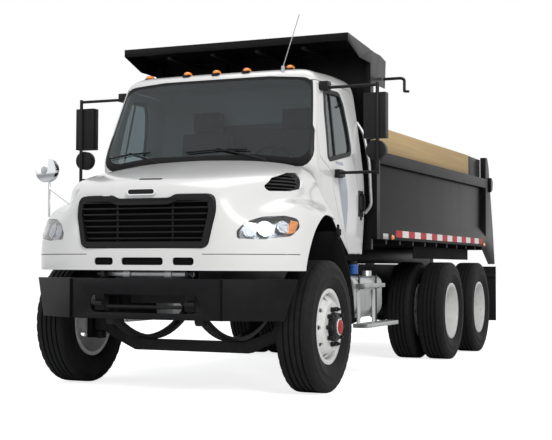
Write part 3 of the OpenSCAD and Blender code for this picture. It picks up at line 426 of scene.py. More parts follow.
# ---- Hood ---------------------------------------------------------------------------------------
# One moulded fibreglass piece: the bonnet, both fenders and the grille surround, in gloss white.
# Its skin is a smooth surface over a net of points for its right half, in metres from the axle.
white_paint = finish("white_paint", (0.80, 0.80, 0.79), 0.22, spread=0.012, scale=1.6, coat=0.6)
white_inside = finish("white_inside", (0.30, 0.30, 0.30), 0.6, spread=0.08, scale=5)
hood_net = [
    [(0, -.882, .96), (.30, -.882, .96), (.56, -.874, .96), (.72, -.838, .96), (.90, -.765, .96),
     (1.03, -.675, .96), (1.12, -.585, .96), (1.175, -.48, .96), (1.185, -.40, .96)],
    [(0, -.886, 1.08), (.30, -.886, 1.08), (.57, -.879, 1.08), (.73, -.842, 1.08), (.91, -.765, 1.08),
     (1.04, -.672, 1.08), (1.135, -.575, 1.075), (1.185, -.45, 1.06), (1.190, -.34, .96)],
    [(0, -.886, 1.27), (.30, -.886, 1.27), (.585, -.878, 1.27), (.75, -.825, 1.265), (.92, -.74, 1.255),
     (1.05, -.642, 1.245), (1.160, -.54, 1.225), (1.195, -.38, 1.15), (1.190, -.24, .96)],
    [(0, -.884, 1.44), (.30, -.884, 1.44), (.575, -.874, 1.43), (.74, -.79, 1.385), (.90, -.69, 1.365),
     (1.04, -.60, 1.370), (1.160, -.49, 1.345), (1.195, -.30, 1.25), (1.190, -.13, .96)],
    [(0, -.880, 1.555), (.30, -.878, 1.55), (.575, -.858, 1.54), (.74, -.715, 1.485), (.88, -.58, 1.445),
     (1.04, -.49, 1.475), (1.170, -.36, 1.425), (1.195, -.18, 1.30), (1.190, -.03, .96)],
    [(0, -.842, 1.625), (.30, -.838, 1.622), (.58, -.795, 1.60), (.80, -.635, 1.575), (.91, -.46, 1.50),
     (1.05, -.37, 1.510), (1.170, -.24, 1.450), (1.195, -.08, 1.31), (1.190, .05, .96)],
    [(0, -.68, 1.695), (.30, -.675, 1.692), (.62, -.64, 1.68), (.89, -.52, 1.655), (.97, -.35, 1.575),
     (1.06, -.22, 1.510), (1.160, -.12, 1.450), (1.195, 0, 1.315), (1.190, .10, .96)],
    [(0, -.35, 1.775), (.30, -.345, 1.772), (.67, -.34, 1.760), (.94, -.29, 1.735), (1.015, -.18, 1.62),
     (1.05, -.08, 1.520), (1.150, 0, 1.445), (1.192, .07, 1.31), (1.190, .15, .96)],
    [(0, -.05, 1.845), (.32, -.045, 1.84), (.67, -.02, 1.825), (.93, .02, 1.78), (1.02, .07, 1.66),
     (1.05, .10, 1.530), (1.14, .13, 1.440), (1.190, .15, 1.31), (1.188, .20, .96)],
    [(0, .104, 1.878), (.34, .112, 1.874), (.66, .135, 1.855), (.93, .18, 1.80), (1.01, .215, 1.68),
     (1.045, .235, 1.55), (1.13, .245, 1.44), (1.188, .248, 1.31), (1.187, .248, .96)],
]
hood_wall = 0.012


def spline_weights(count, t):
    """Which of a line's points, and how much of each, make the smooth curve's point at t."""
    knots = [0] * 4 + [i / (count - 3) for i in range(1, count - 3)] + [1] * 4
    t = min(max(t, 0.0), 1 - 1e-9)
    knot = max(i for i in range(3, count) if knots[i] <= t)
    weights = [1.0]
    for degree in range(1, 4):
        grown = [0.0] * (degree + 1)
        for j, weight in enumerate(weights):
            low, high = knots[knot - degree + 1 + j], knots[knot + 1 + j]
            share = weight / (high - low)
            grown[j] += share * (high - t)
            grown[j + 1] += share * (t - low)
        weights = grown
    return knot - 3, weights


def net_point(net, u, v):
    """The point of a smooth surface over a net, u along its rows and v across them."""
    row_start, row_weights = spline_weights(len(net), v)
    start, weights = spline_weights(len(net[0]), u)
    point = Vector()
    for i, row_weight in enumerate(row_weights):
        for j, weight in enumerate(weights):
            point += Vector(net[row_start + i][start + j]) * row_weight * weight
    return point


merge_distance = .0004


def skin(net, u_cells, v_cells, u_range=(0, 1), v_range=(0, 1)):
    """A grid laid over part of a net's surface."""
    mesh = bmesh.new()
    bmesh.ops.create_grid(mesh, x_segments=u_cells, y_segments=v_cells, size=0.5)
    for vert in mesh.verts:
        u = u_range[0] + (vert.co.x + 0.5) * (u_range[1] - u_range[0])
        v = v_range[0] + (vert.co.y + 0.5) * (v_range[1] - v_range[0])
        vert.co = net_point(net, u, v)
    return mesh


def face_outwards(mesh, centre):
    """Turns a surface's faces away from a point inside it."""
    bmesh.ops.recalc_face_normals(mesh, faces=mesh.faces)
    if sum(face.normal.dot(face.calc_center_median() - Vector(centre)) for face in mesh.faces) < 0:
        bmesh.ops.reverse_faces(mesh, faces=mesh.faces)
    mesh.normal_update()


def sink(mesh, depth):
    """Moves a surface inwards, each point against the way it faces."""
    for vert, facing in [(vert, vert.normal.copy()) for vert in mesh.verts]:
        vert.co -= facing * depth


def thicken(mesh, wall):
    """Gives a skin its wall, on the inside, after its faces are turned outwards."""
    bmesh.ops.remove_doubles(mesh, verts=mesh.verts, dist=merge_distance)
    face_outwards(mesh, (0, 0, 1.3))
    bmesh.ops.solidify(mesh, geom=mesh.faces, thickness=wall)
    return mesh


def whole(mesh):
    """A right half made whole across the truck's middle."""
    bmesh.ops.mirror(mesh, geom=mesh.verts[:] + mesh.edges[:] + mesh.faces[:], axis="X", merge_dist=0.0006)
    return mesh


def prism(outline, axis, low, high):
    """A closed solid with a given outline, on its own."""
    mesh = bmesh.new()
    plate(mesh, outline, axis, low, high)
    return mesh


def ribbon(mesh, rows):
    """Faces between each pair of points along a line and the next pair."""
    for one, two in zip(rows, rows[1:]):
        mesh.faces.new([one[0], two[0], two[1], one[1]])


grille_outline = rounded([(-.545, 1.127), (.545, 1.127), (.605, 1.410), (.580, 1.540), (.275, 1.540),
                          (.215, 1.512), (-.215, 1.512), (-.275, 1.540), (-.580, 1.540), (-.605, 1.410)],
                         [.06, .06, .25, .07, .08, .08, .08, .08, .07, .25])
lamp_outline = rounded([(.757, 1.200), (.814, 1.198), (.945, 1.194), (1.105, 1.220), (1.140, 1.284),
                        (1.122, 1.355), (1.045, 1.376), (.904, 1.366), (.804, 1.325), (.752, 1.256)],
                       [.02, .1, .1, .05, .06, .05, .06, .1, .06, .04])
vent_outline = rounded([(-.535, 1.605), (-.508, 1.569), (-.313, 1.576), (-.150, 1.605), (-.066, 1.680),
                        (-.026, 1.742), (-.185, 1.732), (-.423, 1.676)],
                       [.035, .035, .1, .1, .08, .04, .1, .1])
air_slots = ((-.430, -.262), (-.187, .174), (.255, .432))
arch_centre = (.070, .869)
arch_radius = .536

hood_cells = 84
hood_skin = whole(skin(hood_net, hood_cells, hood_cells))
hood_tree = BVHTree.FromBMesh(hood_skin)
hood = thicken(hood_skin, hood_wall)
openings = prism(grille_outline, "y", -1.0, -.80)
plate(openings, lamp_outline, "y", -1.0, -.25)
plate(openings, [(-x, z) for x, z in lamp_outline], "y", -1.0, -.25)
slot_low, slot_high, slot_corner = 1.0, 1.058, .022
for left, right in air_slots:
    plate(openings, rounded([(left, slot_low), (right, slot_low), (right, slot_high), (left, slot_high)],
                            slot_corner), "y", -1.0, -.80)
arches = bmesh.new()
for side in both_sides:
    drum(arches, (side * .90, *arch_centre), (side * 1.3, *arch_centre), arch_radius, segments=96)
    plate(openings, vent_outline, "x", *span(side, .70, 1.3))
hood = cut(hood, openings, arches)
place(hood, "hood_shell", (white_paint,), "hood_body", "white_paint", 28)
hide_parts("hood")


def on_hood(point, direction=(0, 1, 0)):
    """Where a line through a point, along a direction, meets the hood's skin, and how it faces there."""
    direction = Vector(direction).normalized()
    spot, facing, _, _ = hood_tree.ray_cast(Vector(point) - direction * 3, direction)
    if facing is not None and facing.dot(direction) > 0:
        facing = -facing
    return spot, facing


# ---- Hood trim ----------------------------------------------------------------------------------
# The grille's bars and frame, the recessed air scoop below it with its dark slots, the badge,
# the side vents, the seam above the bumper, the slits and the two rubber latches.
black_plastic = finish("black_plastic", (0.011, 0.011, 0.012), 0.42, spread=0.1, scale=9, bump=0.25,
                       bump_scale=400, specular=0.18)
deep_black = finish("deep_black", (0.004, 0.004, 0.004), 0.8, spread=0.1, specular=0.08)
rubber = finish("rubber", (0.011, 0.011, 0.012), 0.72, specular=0.15, spread=0.15, scale=12, bump=0.2)
chrome = finish("chrome", (0.80, 0.81, 0.83), 0.10, spread=0.03, metal=1.0)
frame_width, frame_stands_out = .046, .016
frame_ring = cut(prism(shrunk(grille_outline, .006), "y", -.905, -.835),
                 prism(shrunk(grille_outline, .006 + frame_width), "y", -.95, -.80))
for vert in frame_ring.verts:
    if vert.co.y < -.87:
        vert.co.y = -.893 + abs(vert.co.x) ** 3 * .15
        spot, _ = on_hood((vert.co.x, -1.6, vert.co.z))
        if spot is not None:
            vert.co.y = min(vert.co.y, spot.y - frame_stands_out)
place(frame_ring, "grille_frame", black_plastic, "hood_body", "black_plastic")
bars = bmesh.new()
bar_count, lowest_bar, bar_pitch = 7, 1.205, .046
for i in range(bar_count):
    z = lowest_bar + i * bar_pitch
    half = .500 + .06 * (z - lowest_bar) / .3
    block(bars, (-half, -.872, z - .006), (half, -.848, z + .006), .003)
for x in (-.24, .24):
    block(bars, (x - .008, -.852, 1.16), (x + .008, -.842, 1.50), .002)
place(bars, "grille_bars", black_plastic, "hood_body", "black_plastic")
backing = prism(shrunk(grille_outline, .02), "y", -.815, -.805)
place(backing, "grille_screen", deep_black, "hood_body", "black_plastic")
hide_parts("grille")

boxes("air_slot_backs", deep_black, "hood_body", "black_plastic",
      [((left - .004, -.868, .996), (right + .004, -.860, 1.062)) for left, right in air_slots])

badge = prism(rounded([(-.130, 1.533), (.115, 1.533), (.115, 1.587), (-.130, 1.587)], .026, 8),
              "y", -.905, -.878)
place(badge, "badge_rim", chrome, "hood_body", "black_plastic", 50)
blank = prism(rounded([(-.118, 1.542), (.103, 1.542), (.103, 1.578), (-.118, 1.578)], .017, 8),
              "y", -.908, -.90)
place(blank, "badge_blank", black_plastic, "hood_body", "black_plastic", 50)


def seam(points, direction, width, deep, mesh):
    """A narrow dark line drawn along the hood's skin through points cast onto it."""
    spots = [spot for spot in (on_hood(point, direction) for point in points) if spot[0] is not None]
    rows = []
    for i, (spot, facing) in enumerate(spots):
        ahead = spots[min(i + 1, len(spots) - 1)][0] - spots[max(i - 1, 0)][0]
        across = facing.cross(ahead).normalized() * width / 2
        rows.append([mesh.verts.new(spot + shift + facing * deep) for shift in (across, -across)])
    ribbon(mesh, rows)


# The vents: thin slats on each side, a little under the skin.
for side, name in named_sides:
    slats = bmesh.new()
    for z in (1.600, 1.628, 1.656, 1.684, 1.712):
        strip = []
        for i in range(13):
            y = max(-.52, -.54 + (z - 1.60) * 1.6) + i * .036
            spot, _ = on_hood((side * 1.3, min(y, -.05), z), (-side, 0, 0))
            if spot is not None and abs(spot.x) > .70:
                strip.append([slats.verts.new((spot.x - side * deep, spot.y, z + rise))
                              for deep, rise in ((.024, -.006), (.038, .006))])
        ribbon(slats, strip)
    place(slats, "vent_slats_" + name, black_plastic, "hood_body", "black_plastic")

lines = bmesh.new()
seam_height, seam_width, seam_lift, seam_step = 1.083, .005, .0008, .02
for side in both_sides:
    seam([(side * (.50 + seam_step * i), -1.2, seam_height) for i in range(30)], (0, 1, 0),
         seam_width, seam_lift, lines)
    seam([(side * 1.4, -.62 + seam_step * i, seam_height) for i in range(6)], (-side, 0, 0),
         seam_width, seam_lift, lines)
slit = [-.119 + .0205 * i for i in range(11)]
seam([(x, -1.6, 1.670 - .02 * (x + .12)) for x in slit], (0, 1, 0), .030, .001, lines)
place(lines, "hood_seams", deep_black, "hood_body", "black_plastic")

boxes("hood_latches", rubber, "hood_body", "black_plastic",
      [((1.176, .190, 1.245), (1.204, .262, 1.300), .008, 3),
       ((1.180, .205, 1.215), (1.196, .240, 1.335), .006, 2)], mirrored=True)


# ---- Cab ----------------------------------------------------------------------------------------
# A welded steel day cab in the same white: bowed screen, upright sides that lean in above the
# belt, a domed roof. Rows of its net run from the front's middle around to the back's middle.
def cab_row(z, front, half_front, half_side, rear=1.335):
    depth = rear - front
    ahead, beside = half_front, half_side
    plan = [(0, 0), (.35 * ahead, 0), (.70 * ahead, .012), (.90 * ahead, .03), (.99 * ahead, .045),
            (1.005 * ahead, .13), (1.015 * ahead, .25), (.99 * beside, .46), (beside, .64), (beside, .91),
            (beside, 1), (.88 * beside, 1), (.4 * beside, 1), (0, 1)]
    return [(x, front + y * (depth if y > .3 else min(1, depth)), z) for x, y in plan]


cab_net = [cab_row(*row) for row in [
    (1.105, .30, .99, 1.038), (1.30, .27, 1.0, 1.055), (1.55, .26, 1.008, 1.065), (1.75, .22, 1.010, 1.060),
    (1.86, .118, 1.012, 1.051), (2.10, .212, .985, 1.018), (2.35, .310, .950, .984), (2.52, .376, .925, .960),
    (2.60, .405, .905, .942, 1.32), (2.655, .445, .85, .905, 1.30), (2.690, .54, .73, .82, 1.25),
    (2.703, .70, .50, .58, 1.12), (2.705, .88, .20, .25, 1.0)]]
cab_wall = .030
door_wall = .040
door_corners = [(.940, 1.111), (1.268, 1.111), (1.268, 2.380), (1.180, 2.560), (.410, 2.560), (.340, 2.370),
                (.288, 2.150), (.282, 1.900), (.490, 1.800), (.560, 1.640), (.655, 1.450), (.800, 1.270)]
door_radii = [.04, .06, .16, .12, .06, .2, .2, .06, .09, .3, .3, .2]
door_outline = rounded(door_corners, door_radii)
door_hole = rounded([(y + .014, z) if y > 1.1 and z > 2 else (y, z) for y, z in shrunk(door_corners, -.006)],
                    door_radii)
door_window = rounded([(.436, 1.874), (1.004, 1.975), (.992, 2.20), (.950, 2.40), (.890, 2.50), (.560, 2.488),
                       (.500, 2.30)], [.04, .08, .2, .12, .07, .06, .2])
screen_outline = rounded([(-1.000, 1.792), (-.5, 1.858), (.5, 1.858), (1.000, 1.792), (.955, 2.20),
                          (.903, 2.580), (.5, 2.612), (-.5, 2.612), (-.903, 2.580), (-.955, 2.20)],
                         [.12, .3, .3, .12, .4, .13, .3, .3, .13, .4])
rear_window = rounded([(-.52, 1.80), (.52, 1.80), (.52, 2.32), (-.52, 2.32)], .07)
wheel_house = [(.20, 1.0), (1.0, 1.0), (.922, 1.112), (.710, 1.256), (.496, 1.418), (.20, 1.56)]
glass = finish("glass", (0.30, 0.36, 0.38), 0.03, spread=0.02, scale=3)
put(glass.node_tree.nodes["Principled BSDF"], Transmission_Weight=1.0, IOR=1.45)


def cab_skin(side, u_range, v_range, u_cells=100, v_cells=100, depth=0.0):
    """Part of the cab's outer surface on one side, or both for side 0, moved in by a depth."""
    mesh = skin(cab_net, u_cells, v_cells, u_range, v_range)
    if side < 0:
        bmesh.ops.scale(mesh, vec=(-1, 1, 1), verts=mesh.verts)
    if side == 0:
        mesh = whole(mesh)
        crown = [edge for edge in mesh.edges if edge.is_boundary and min(v.co.z for v in edge.verts) > 2.69]
        bmesh.ops.holes_fill(mesh, edges=crown)
    bmesh.ops.remove_doubles(mesh, verts=mesh.verts, dist=merge_distance)
    face_outwards(mesh, (0, .75, 1.8))
    sink(mesh, depth)
    return mesh


def panel(side, u_range, v_range, outline, axis, reach, depth, wall, hole=None, cells=(100, 100)):
    """A shaped sheet that follows the cab's surface: an outline cut from its skin, with an optional hole."""
    mesh = cab_skin(side, u_range, v_range, *cells, depth)
    bmesh.ops.solidify(mesh, geom=mesh.faces, thickness=wall)
    mesh = cut(mesh, prism(outline, axis, *reach), operation="INTERSECT")
    return cut(mesh, prism(hole, axis, reach[0] - .01, reach[1] + .01)) if hole else mesh


side_u, side_v = (.26, .86), (0, .82)
front_u, front_v = (0, .42), (.24, .74)
shell = cab_skin(0, (0, 1), (0, 1), 90, 110)
cab_tree = BVHTree.FromBMesh(shell)
bmesh.ops.solidify(shell, geom=shell.faces, thickness=cab_wall)
holes = prism(screen_outline, "y", -.2, .62)
plate(holes, rear_window, "y", 1.20, 1.5)
sides = bmesh.new()
houses = bmesh.new()
for side in both_sides:
    plate(sides, door_hole, "x", *span(side, .70, 1.3))
    plate(houses, wheel_house, "x", *span(side, .705, 1.31))
shell = cut(shell, holes, sides, houses)
block(shell, (-.70, .31, 1.108), (.70, 1.31, 1.14))
for side in both_sides:
    left, right = span(side, .70, 1.0)
    block(shell, (left, .99, 1.108), (right, 1.31, 1.14))
place(shell, "cab_shell", white_paint, "chassis", "white_paint", 34)
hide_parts("cab")

screen = panel(0, front_u, front_v, screen_outline, "y", (-.2, .62), .006, .006, cells=(60, 90))
back_glass = panel(0, (.78, 1), (.24, .74), rear_window, "y", (1.2, 1.5), .012, .006, cells=(30, 60))
place(screen, "screen", glass, "chassis", "dark_glass", 50)
place(back_glass, "rear_window", glass, "chassis", "dark_glass", 50)
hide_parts("cab_glass")
band = [(x * .965, 1.866 + (z - 1.792) * .880) for x, z in screen_outline]
border = panel(0, front_u, front_v, screen_outline, "y", (-.2, .62), .0045, .0012, hole=band, cells=(60, 90))
place(border, "screen_border", black_plastic, "chassis", "black_plastic", 50)

for side, name in named_sides:
    body = f"door_{name}_body"
    reach = span(side, .70, 1.3)
    leaf = panel(side, side_u, side_v, door_outline, "x", reach, 0, door_wall, hole=door_window,
                 cells=(110, 120))
    place(leaf, f"door_leaf_{name}", white_paint, body, "white_paint", 34)
    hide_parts(f"door_{name}")
    pane = panel(side, side_u, side_v, door_window, "x", reach, .012, .006, cells=(80, 80))
    place(pane, f"door_pane_{name}", glass, body, "dark_glass", 50)
    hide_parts(f"door_glass_{name}")
    seal = panel(side, side_u, side_v, shrunk(door_window, -.012), "x", reach, -.003, .012,
                 hole=shrunk(door_window, .026), cells=(80, 80))
    place(seal, f"door_seal_{name}", black_plastic, body, "black_plastic", 50)
    bar = panel(side, side_u, side_v, [(.600, 1.90), (.622, 1.90), (.690, 2.49), (.668, 2.49)], "x", reach,
                .002, .008, cells=(80, 80))
    place(bar, f"door_bar_{name}", black_plastic, body, "black_plastic", 50)


# ---- Headlights ---------------------------------------------------------------------------------
# A clear lens that carries on the hood's surface, chrome bowls behind it and an amber outer end.
lens_clear = finish("lens_clear", (0.92, 0.95, 0.97), 0.02, spread=0.01, scale=3)
put(lens_clear.node_tree.nodes["Principled BSDF"], Transmission_Weight=1.0)
reflector = finish("reflector", (0.36, 0.37, 0.40), 0.28, spread=0.15, scale=30, metal=1.0)
amber = finish("amber", (0.85, 0.26, 0.02), 0.15, spread=0.08, scale=30, coat=0.4)
put(amber.node_tree.nodes["Principled BSDF"], Emission_Color=(0.9, 0.25, 0.02, 1), Emission_Strength=0.12)


def hood_panel(side, outline, axis, reach, depth, wall, u_range=(.30, .95), v_range=(.05, .80), cells=(90, 80)):
    """A shaped sheet that follows the hood's surface, moved in by a depth."""
    mesh = skin(hood_net, *cells, u_range, v_range)
    if side < 0:
        bmesh.ops.scale(mesh, vec=(-1, 1, 1), verts=mesh.verts)
    face_outwards(mesh, (0, .2, 1.0))
    sink(mesh, depth)
    bmesh.ops.solidify(mesh, geom=mesh.faces, thickness=wall)
    return cut(mesh, prism(outline, axis, *reach), operation="INTERSECT")


for side, name in named_sides:
    outline = lamp_outline if side > 0 else [(-x, z) for x, z in reversed(lamp_outline)]
    lens = hood_panel(side, shrunk(outline, .003), "y", (-1.0, -.25), .002, .004)
    place(lens, f"lamp_lens_{name}", lens_clear, "hood_body", "clear_lens", 40)
    bucket = hood_panel(side, shrunk(outline, -.004), "y", (-1.0, -.25), .060, .006)
    place(bucket, f"lamp_bucket_{name}", reflector, "hood_body", "clear_lens", 40)
    bowls = bmesh.new()
    for x, z, size in ((.840, 1.262, .045), (.940, 1.278, .055), (1.050, 1.292, .045)):
        spot, facing = on_hood((side * x, -1.2, z), (0, 1, 0))
        middle = spot - facing * .030
        drum(bowls, middle - facing * .028, middle + facing * .012, size * .35, size, 32)
        drum(bowls, middle + facing * .012, middle + facing * .017, size * 1.08, size * 1.08, 32)
    place(bowls, f"lamp_bowls_{name}", reflector, "hood_body", "clear_lens", 40)
    corner = [(side * x, z) for x, z in ((1.070, 1.235), (1.112, 1.245), (1.122, 1.330), (1.080, 1.340))]
    marker = hood_panel(side, corner if side > 0 else corner[::-1], "y", (-1.0, -.22), .010, .004)
    place(marker, f"lamp_marker_{name}", amber, "hood_body", "clear_lens", 40)
    pocket = hood_panel(side, vent_outline, "x", span(side, .70, 1.3), .045, .004,
                        (.02, .98), (.02, .98), (110, 110))
    place(pocket, f"vent_back_{name}", deep_black, "hood_body", "black_plastic")
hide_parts("headlights")


# ---- Bumper -------------------------------------------------------------------------------------
# Three pressed steel sections in gloss black with seams between, a slot with two tow hooks and
# a bar inside it, and the grey lower cooler rail that shows above.
bumper_paint = finish("bumper_paint", (0.005, 0.005, 0.006), 0.34, spread=0.2, scale=5, bump=0.08,
                      dust=(0.011, 0.010, 0.010), specular=0.15)
dress("front_bumper", bumper_paint, 0.012)
steel = finish("steel", (0.42, 0.43, 0.44), 0.38, spread=0.15, scale=9, metal=0.9)
tow = bmesh.new()
for x in (-.40, .40):
    pipe(tow, [(x - .04, -.80, .705), (x - .04, -.872, .705), (x - .02, -.885, .705), (x + .045, -.885, .705)],
         .017, bend=.03)
drum(tow, (-.33, -.845, .680), (.33, -.845, .680), .014)
place(tow, "tow_gear", chassis_paint, "chassis", "chassis_black")
boxes("cooler_rail", steel, "chassis", "radiator_grey",
      [((-.40, -.80, .912), (.40, -.76, .948), .006)]
      + [((x - .03, -.815, .905), (x + .03, -.765, .955), .005) for x in (-.18, .18)])
boxes("bumper_seams", deep_black, "chassis", "bumper_black",
      [((x - .004, -.868, .585), (x + .004, -.845, .893)) for x in (.654, -.654)])


# ---- Wheels -------------------------------------------------------------------------------------
# Ribbed highway tyres with slits across their shoulders, on white steel discs. The front hubs
# are black with a red cap, the rear ones sit deep inside the outer rim.
tyre_rubber = finish("tyre_rubber", (0.012, 0.012, 0.013), 0.66, spread=0.2, scale=9, bump=0.3,
                     bump_scale=300, specular=0.15, dust=(0.028, 0.026, 0.023))
rim_paint = finish("rim_paint", (0.78, 0.78, 0.77), 0.34, spread=0.04, scale=8, coat=0.3,
                   dust=(0.55, 0.53, 0.50))
red_paint = finish("red_paint", (0.42, 0.01, 0.01), 0.3, spread=0.1, scale=20, specular=0.2)
bead = .2985
front_tyre_x, front_tyre_width = 1.075, .298
rear_tyre_xs, rear_tyre_width = (.755, 1.090), .282
rear_axle_ys = (3.854, 5.172)
stud_circle = .1425


def tyre(mesh, x, y, width, steps=144):
    """A tyre about the wheel's axis, its tread ribbed and its shoulders slit."""
    half = width / 2
    side_wall = [(bead - .010, .100), (bead + .010, .116), (bead + .030, half * .88), (bead + .060, half * .96),
                 (.385, half), (.388, half + .0015), (.394, half + .0015), (.397, half), (.425, half * .995),
                 (.455, half * .975), (.459, half * .982), (.463, half * .965), (.492, half * .92),
                 (.508, half * .86), (.5165, half * .80), (.5205, half * .72)]
    tread = []
    for groove in (.45, .15, -.15, -.45):
        middle = groove * half
        tread += [(.522, middle + .0075), (.507, middle + .005), (.507, middle - .005), (.522, middle - .0075)]
    profile = side_wall + tread + [(r, -w) for r, w in reversed(side_wall)]
    profile += [(bead - .014, -.090), (bead - .014, .090)]
    slit = {i for i in (12, 13, 14)} | {len(profile) - 3 - i for i in (12, 13, 14)}
    rings = []
    for step in range(steps):
        turn = 2 * math.pi * step / steps
        ring = []
        for i, (radius, across) in enumerate(profile):
            if i in slit and step % 4 == 0:
                radius -= .007
            ring.append(mesh.verts.new((x + across, y + radius * math.sin(turn),
                                        wheel_z + radius * math.cos(turn))))
        rings.append(ring)
    for step in range(steps):
        one, two = rings[step], rings[(step + 1) % steps]
        for i in range(len(profile)):
            j = (i + 1) % len(profile)
            mesh.faces.new([one[i], two[i], two[j], one[j]])


def turned(side, y, steps, segments=40):
    """A part turned about a wheel's axis, from steps of start, end, radius and end radius."""
    mesh = bmesh.new()
    for start, end, radius, end_radius in steps:
        drum(mesh, (side * start, y, wheel_z), (side * end, y, wheel_z), radius, end_radius, segments)
    return mesh


def ring_of(mesh, count, radius, start, end, size, y, segments=6):
    """Nuts or studs evenly spaced around a wheel's axis, from one distance out to another."""
    for i in range(count):
        turn = 2 * math.pi * (i + .5) / count
        spot = (y + radius * math.sin(turn), wheel_z + radius * math.cos(turn))
        drum(mesh, (start, *spot), (end, *spot), size, segments=segments)


def tyres(name, body, side, xs, y, width):
    """The tyres of one wheel, single or paired, as one piece."""
    mesh = bmesh.new()
    for x in xs:
        tyre(mesh, side * x, y, width)
    bmesh.ops.recalc_face_normals(mesh, faces=mesh.faces)
    place(mesh, name, tyre_rubber, body, "tyre", 40)


for side, name in named_sides:
    body = f"front_wheel_{name}"
    tyres(f"tyre_front_{name}", body, side, (front_tyre_x,), 0, front_tyre_width)
    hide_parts(f"front_tyre_{name}")
    dress(f"front_rim_{name}", rim_paint, .003, 30)
    hub = turned(side, 0, ((1.2225, 1.2560, .116, .112), (1.2560, 1.2700, .098, .078)), 48)
    ring_of(hub, 10, stud_circle, side * 1.222, side * 1.252, .0185, 0)
    ring_of(hub, 10, stud_circle, side * 1.252, side * 1.268, .011, 0, 16)
    ring_of(hub, 8, .092, side * 1.256, side * 1.264, .008, 0)
    place(hub, f"hub_front_{name}", chassis_paint, body, "chassis_black", 40)
    cap = turned(side, 0, ((1.268, 1.290, .060, .056), (1.290, 1.296, .056, .030)))
    place(cap, f"hub_cap_{name}", red_paint, body, "chassis_black", 40)
    trim = turned(side, 0, ((1.266, 1.280, .067, .067),))
    place(trim, f"hub_ring_{name}", chrome, body, "chassis_black", 40)
    for row, y in enumerate(rear_axle_ys, 1):
        body = f"rear_wheels_{name}_{row}"
        tyres(f"tyres_rear_{name}_{row}", body, side, rear_tyre_xs, y, rear_tyre_width)
        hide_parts(f"rear_tyres_{name}_{row}")
        dress(f"rear_rims_{name}_{row}", rim_paint, .003, 30)
        hub = turned(side, y, ((.9230, 1.0205, .118, .112), (1.0205, 1.0290, .094, .090)), 48)
        ring_of(hub, 10, stud_circle, side * .9225, side * .956, .0185, y)
        ring_of(hub, 8, .100, side * 1.0205, side * 1.029, .008, y)
        place(hub, f"hub_rear_{name}_{row}", steel, body, "rim_white", 40)


# ---- Running gear -------------------------------------------------------------------------------
# Axles, springs, suspension, shafts, engine and brackets, in dusty chassis black and cast grey.
cast_iron = finish("cast_iron", (0.026, 0.026, 0.027), 0.62, spread=0.25, scale=7, bump=0.4,
                   bump_scale=160, specular=0.2, dust=(0.055, 0.050, 0.042))
radiator_paint = finish("radiator_paint", (0.16, 0.165, 0.17), 0.5, spread=0.15, scale=10)
for name in ("frame_crossmembers", "driveshafts", "front_springs", "rear_suspension",
             "knuckle_left", "knuckle_right"):
    dress(name, chassis_paint, .003)
for name in ("engine", "front_axle", "rear_axles", "hoist_barrel"):
    dress(name, cast_iron, .004)
dress("radiator", radiator_paint, .004)
dress("hoist_rod", chrome, .002)
for name in ("splash_shields", "mudflaps"):
    dress(name, rubber, .003)


# ---- Cab fittings -------------------------------------------------------------------------------
# Wipers on the screen, amber lamps along the roof's front, the grab tube behind the door, the
# mirrors' glass, the doors' handles, a painted reflection strip down each door and the black liners over the
# front wheels.
def on_cab(point, direction):
    """Where a line through a point meets the cab's outer surface, and how it faces there."""
    direction = Vector(direction).normalized()
    spot, facing, _, _ = cab_tree.ray_cast(Vector(point) - direction * 3, direction)
    if facing.dot(direction) > 0:
        facing = -facing
    return spot, facing


wipers = bmesh.new()
for blade, pivot in ((((-.916, 1.925), (-.70, 1.955), (-.50, 1.962)), (-.400, 1.862)),
                     (((-.150, 1.950), (.150, 1.968), (.420, 1.958)), (.588, 1.862))):
    spots = []
    for x, z in blade:
        spot, facing = on_cab((x, 0, z), (0, 1, 0))
        spots.append(spot + facing * .016)
    pipe(wipers, spots, .0065, 8)
    pipe(wipers, [spot + Vector((0, -.008, .004)) for spot in spots], .0045, 8)
    base, facing = on_cab((pivot[0], 0, pivot[1]), (0, 1, 0))
    pipe(wipers, [base + Vector((0, .01, -.01)), base + Vector((0, -.03, .01)),
                  spots[1] + Vector((0, -.014, .01))], .007, 8, bend=.03)
    drum(wipers, base + Vector((0, .02, -.02)), base + Vector((0, -.035, .0)), .016)
place(wipers, "wipers", black_plastic, "chassis", "black_plastic")

lamps, lamp_feet = bmesh.new(), bmesh.new()
for x, y in ((-.748, .60), (-.315, .50), (-.028, .49), (.257, .50), (.629, .58)):
    spot, facing = on_cab((x, y, 2.4), (0, 0, -1))
    made = bmesh.ops.create_uvsphere(lamps, u_segments=20, v_segments=12, radius=1)["verts"]
    bmesh.ops.scale(lamps, vec=(.036, .048, .026), verts=made)
    bmesh.ops.translate(lamps, vec=spot + Vector((0, 0, .012)), verts=made)
    block(lamp_feet, spot - Vector((.034, .046, .02)), spot + Vector((.034, .046, .010)), .008)
place(lamps, "roof_lamps", amber, "chassis", "black_plastic", 60)
place(lamp_feet, "roof_lamp_feet", black_plastic, "chassis", "black_plastic")
dress("antenna", steel, .0, 40)

grab = bmesh.new()
pipe(grab, [(.985, 1.300, 2.290), (1.045, 1.305, 2.200), (1.100, 1.308, 1.930),
            (1.118, 1.308, 1.540), (1.060, 1.306, 1.470)], .014, 12, bend=.06)
mirror_x(grab)
place(grab, "grab_tubes", steel, "chassis", "black_plastic", 40)

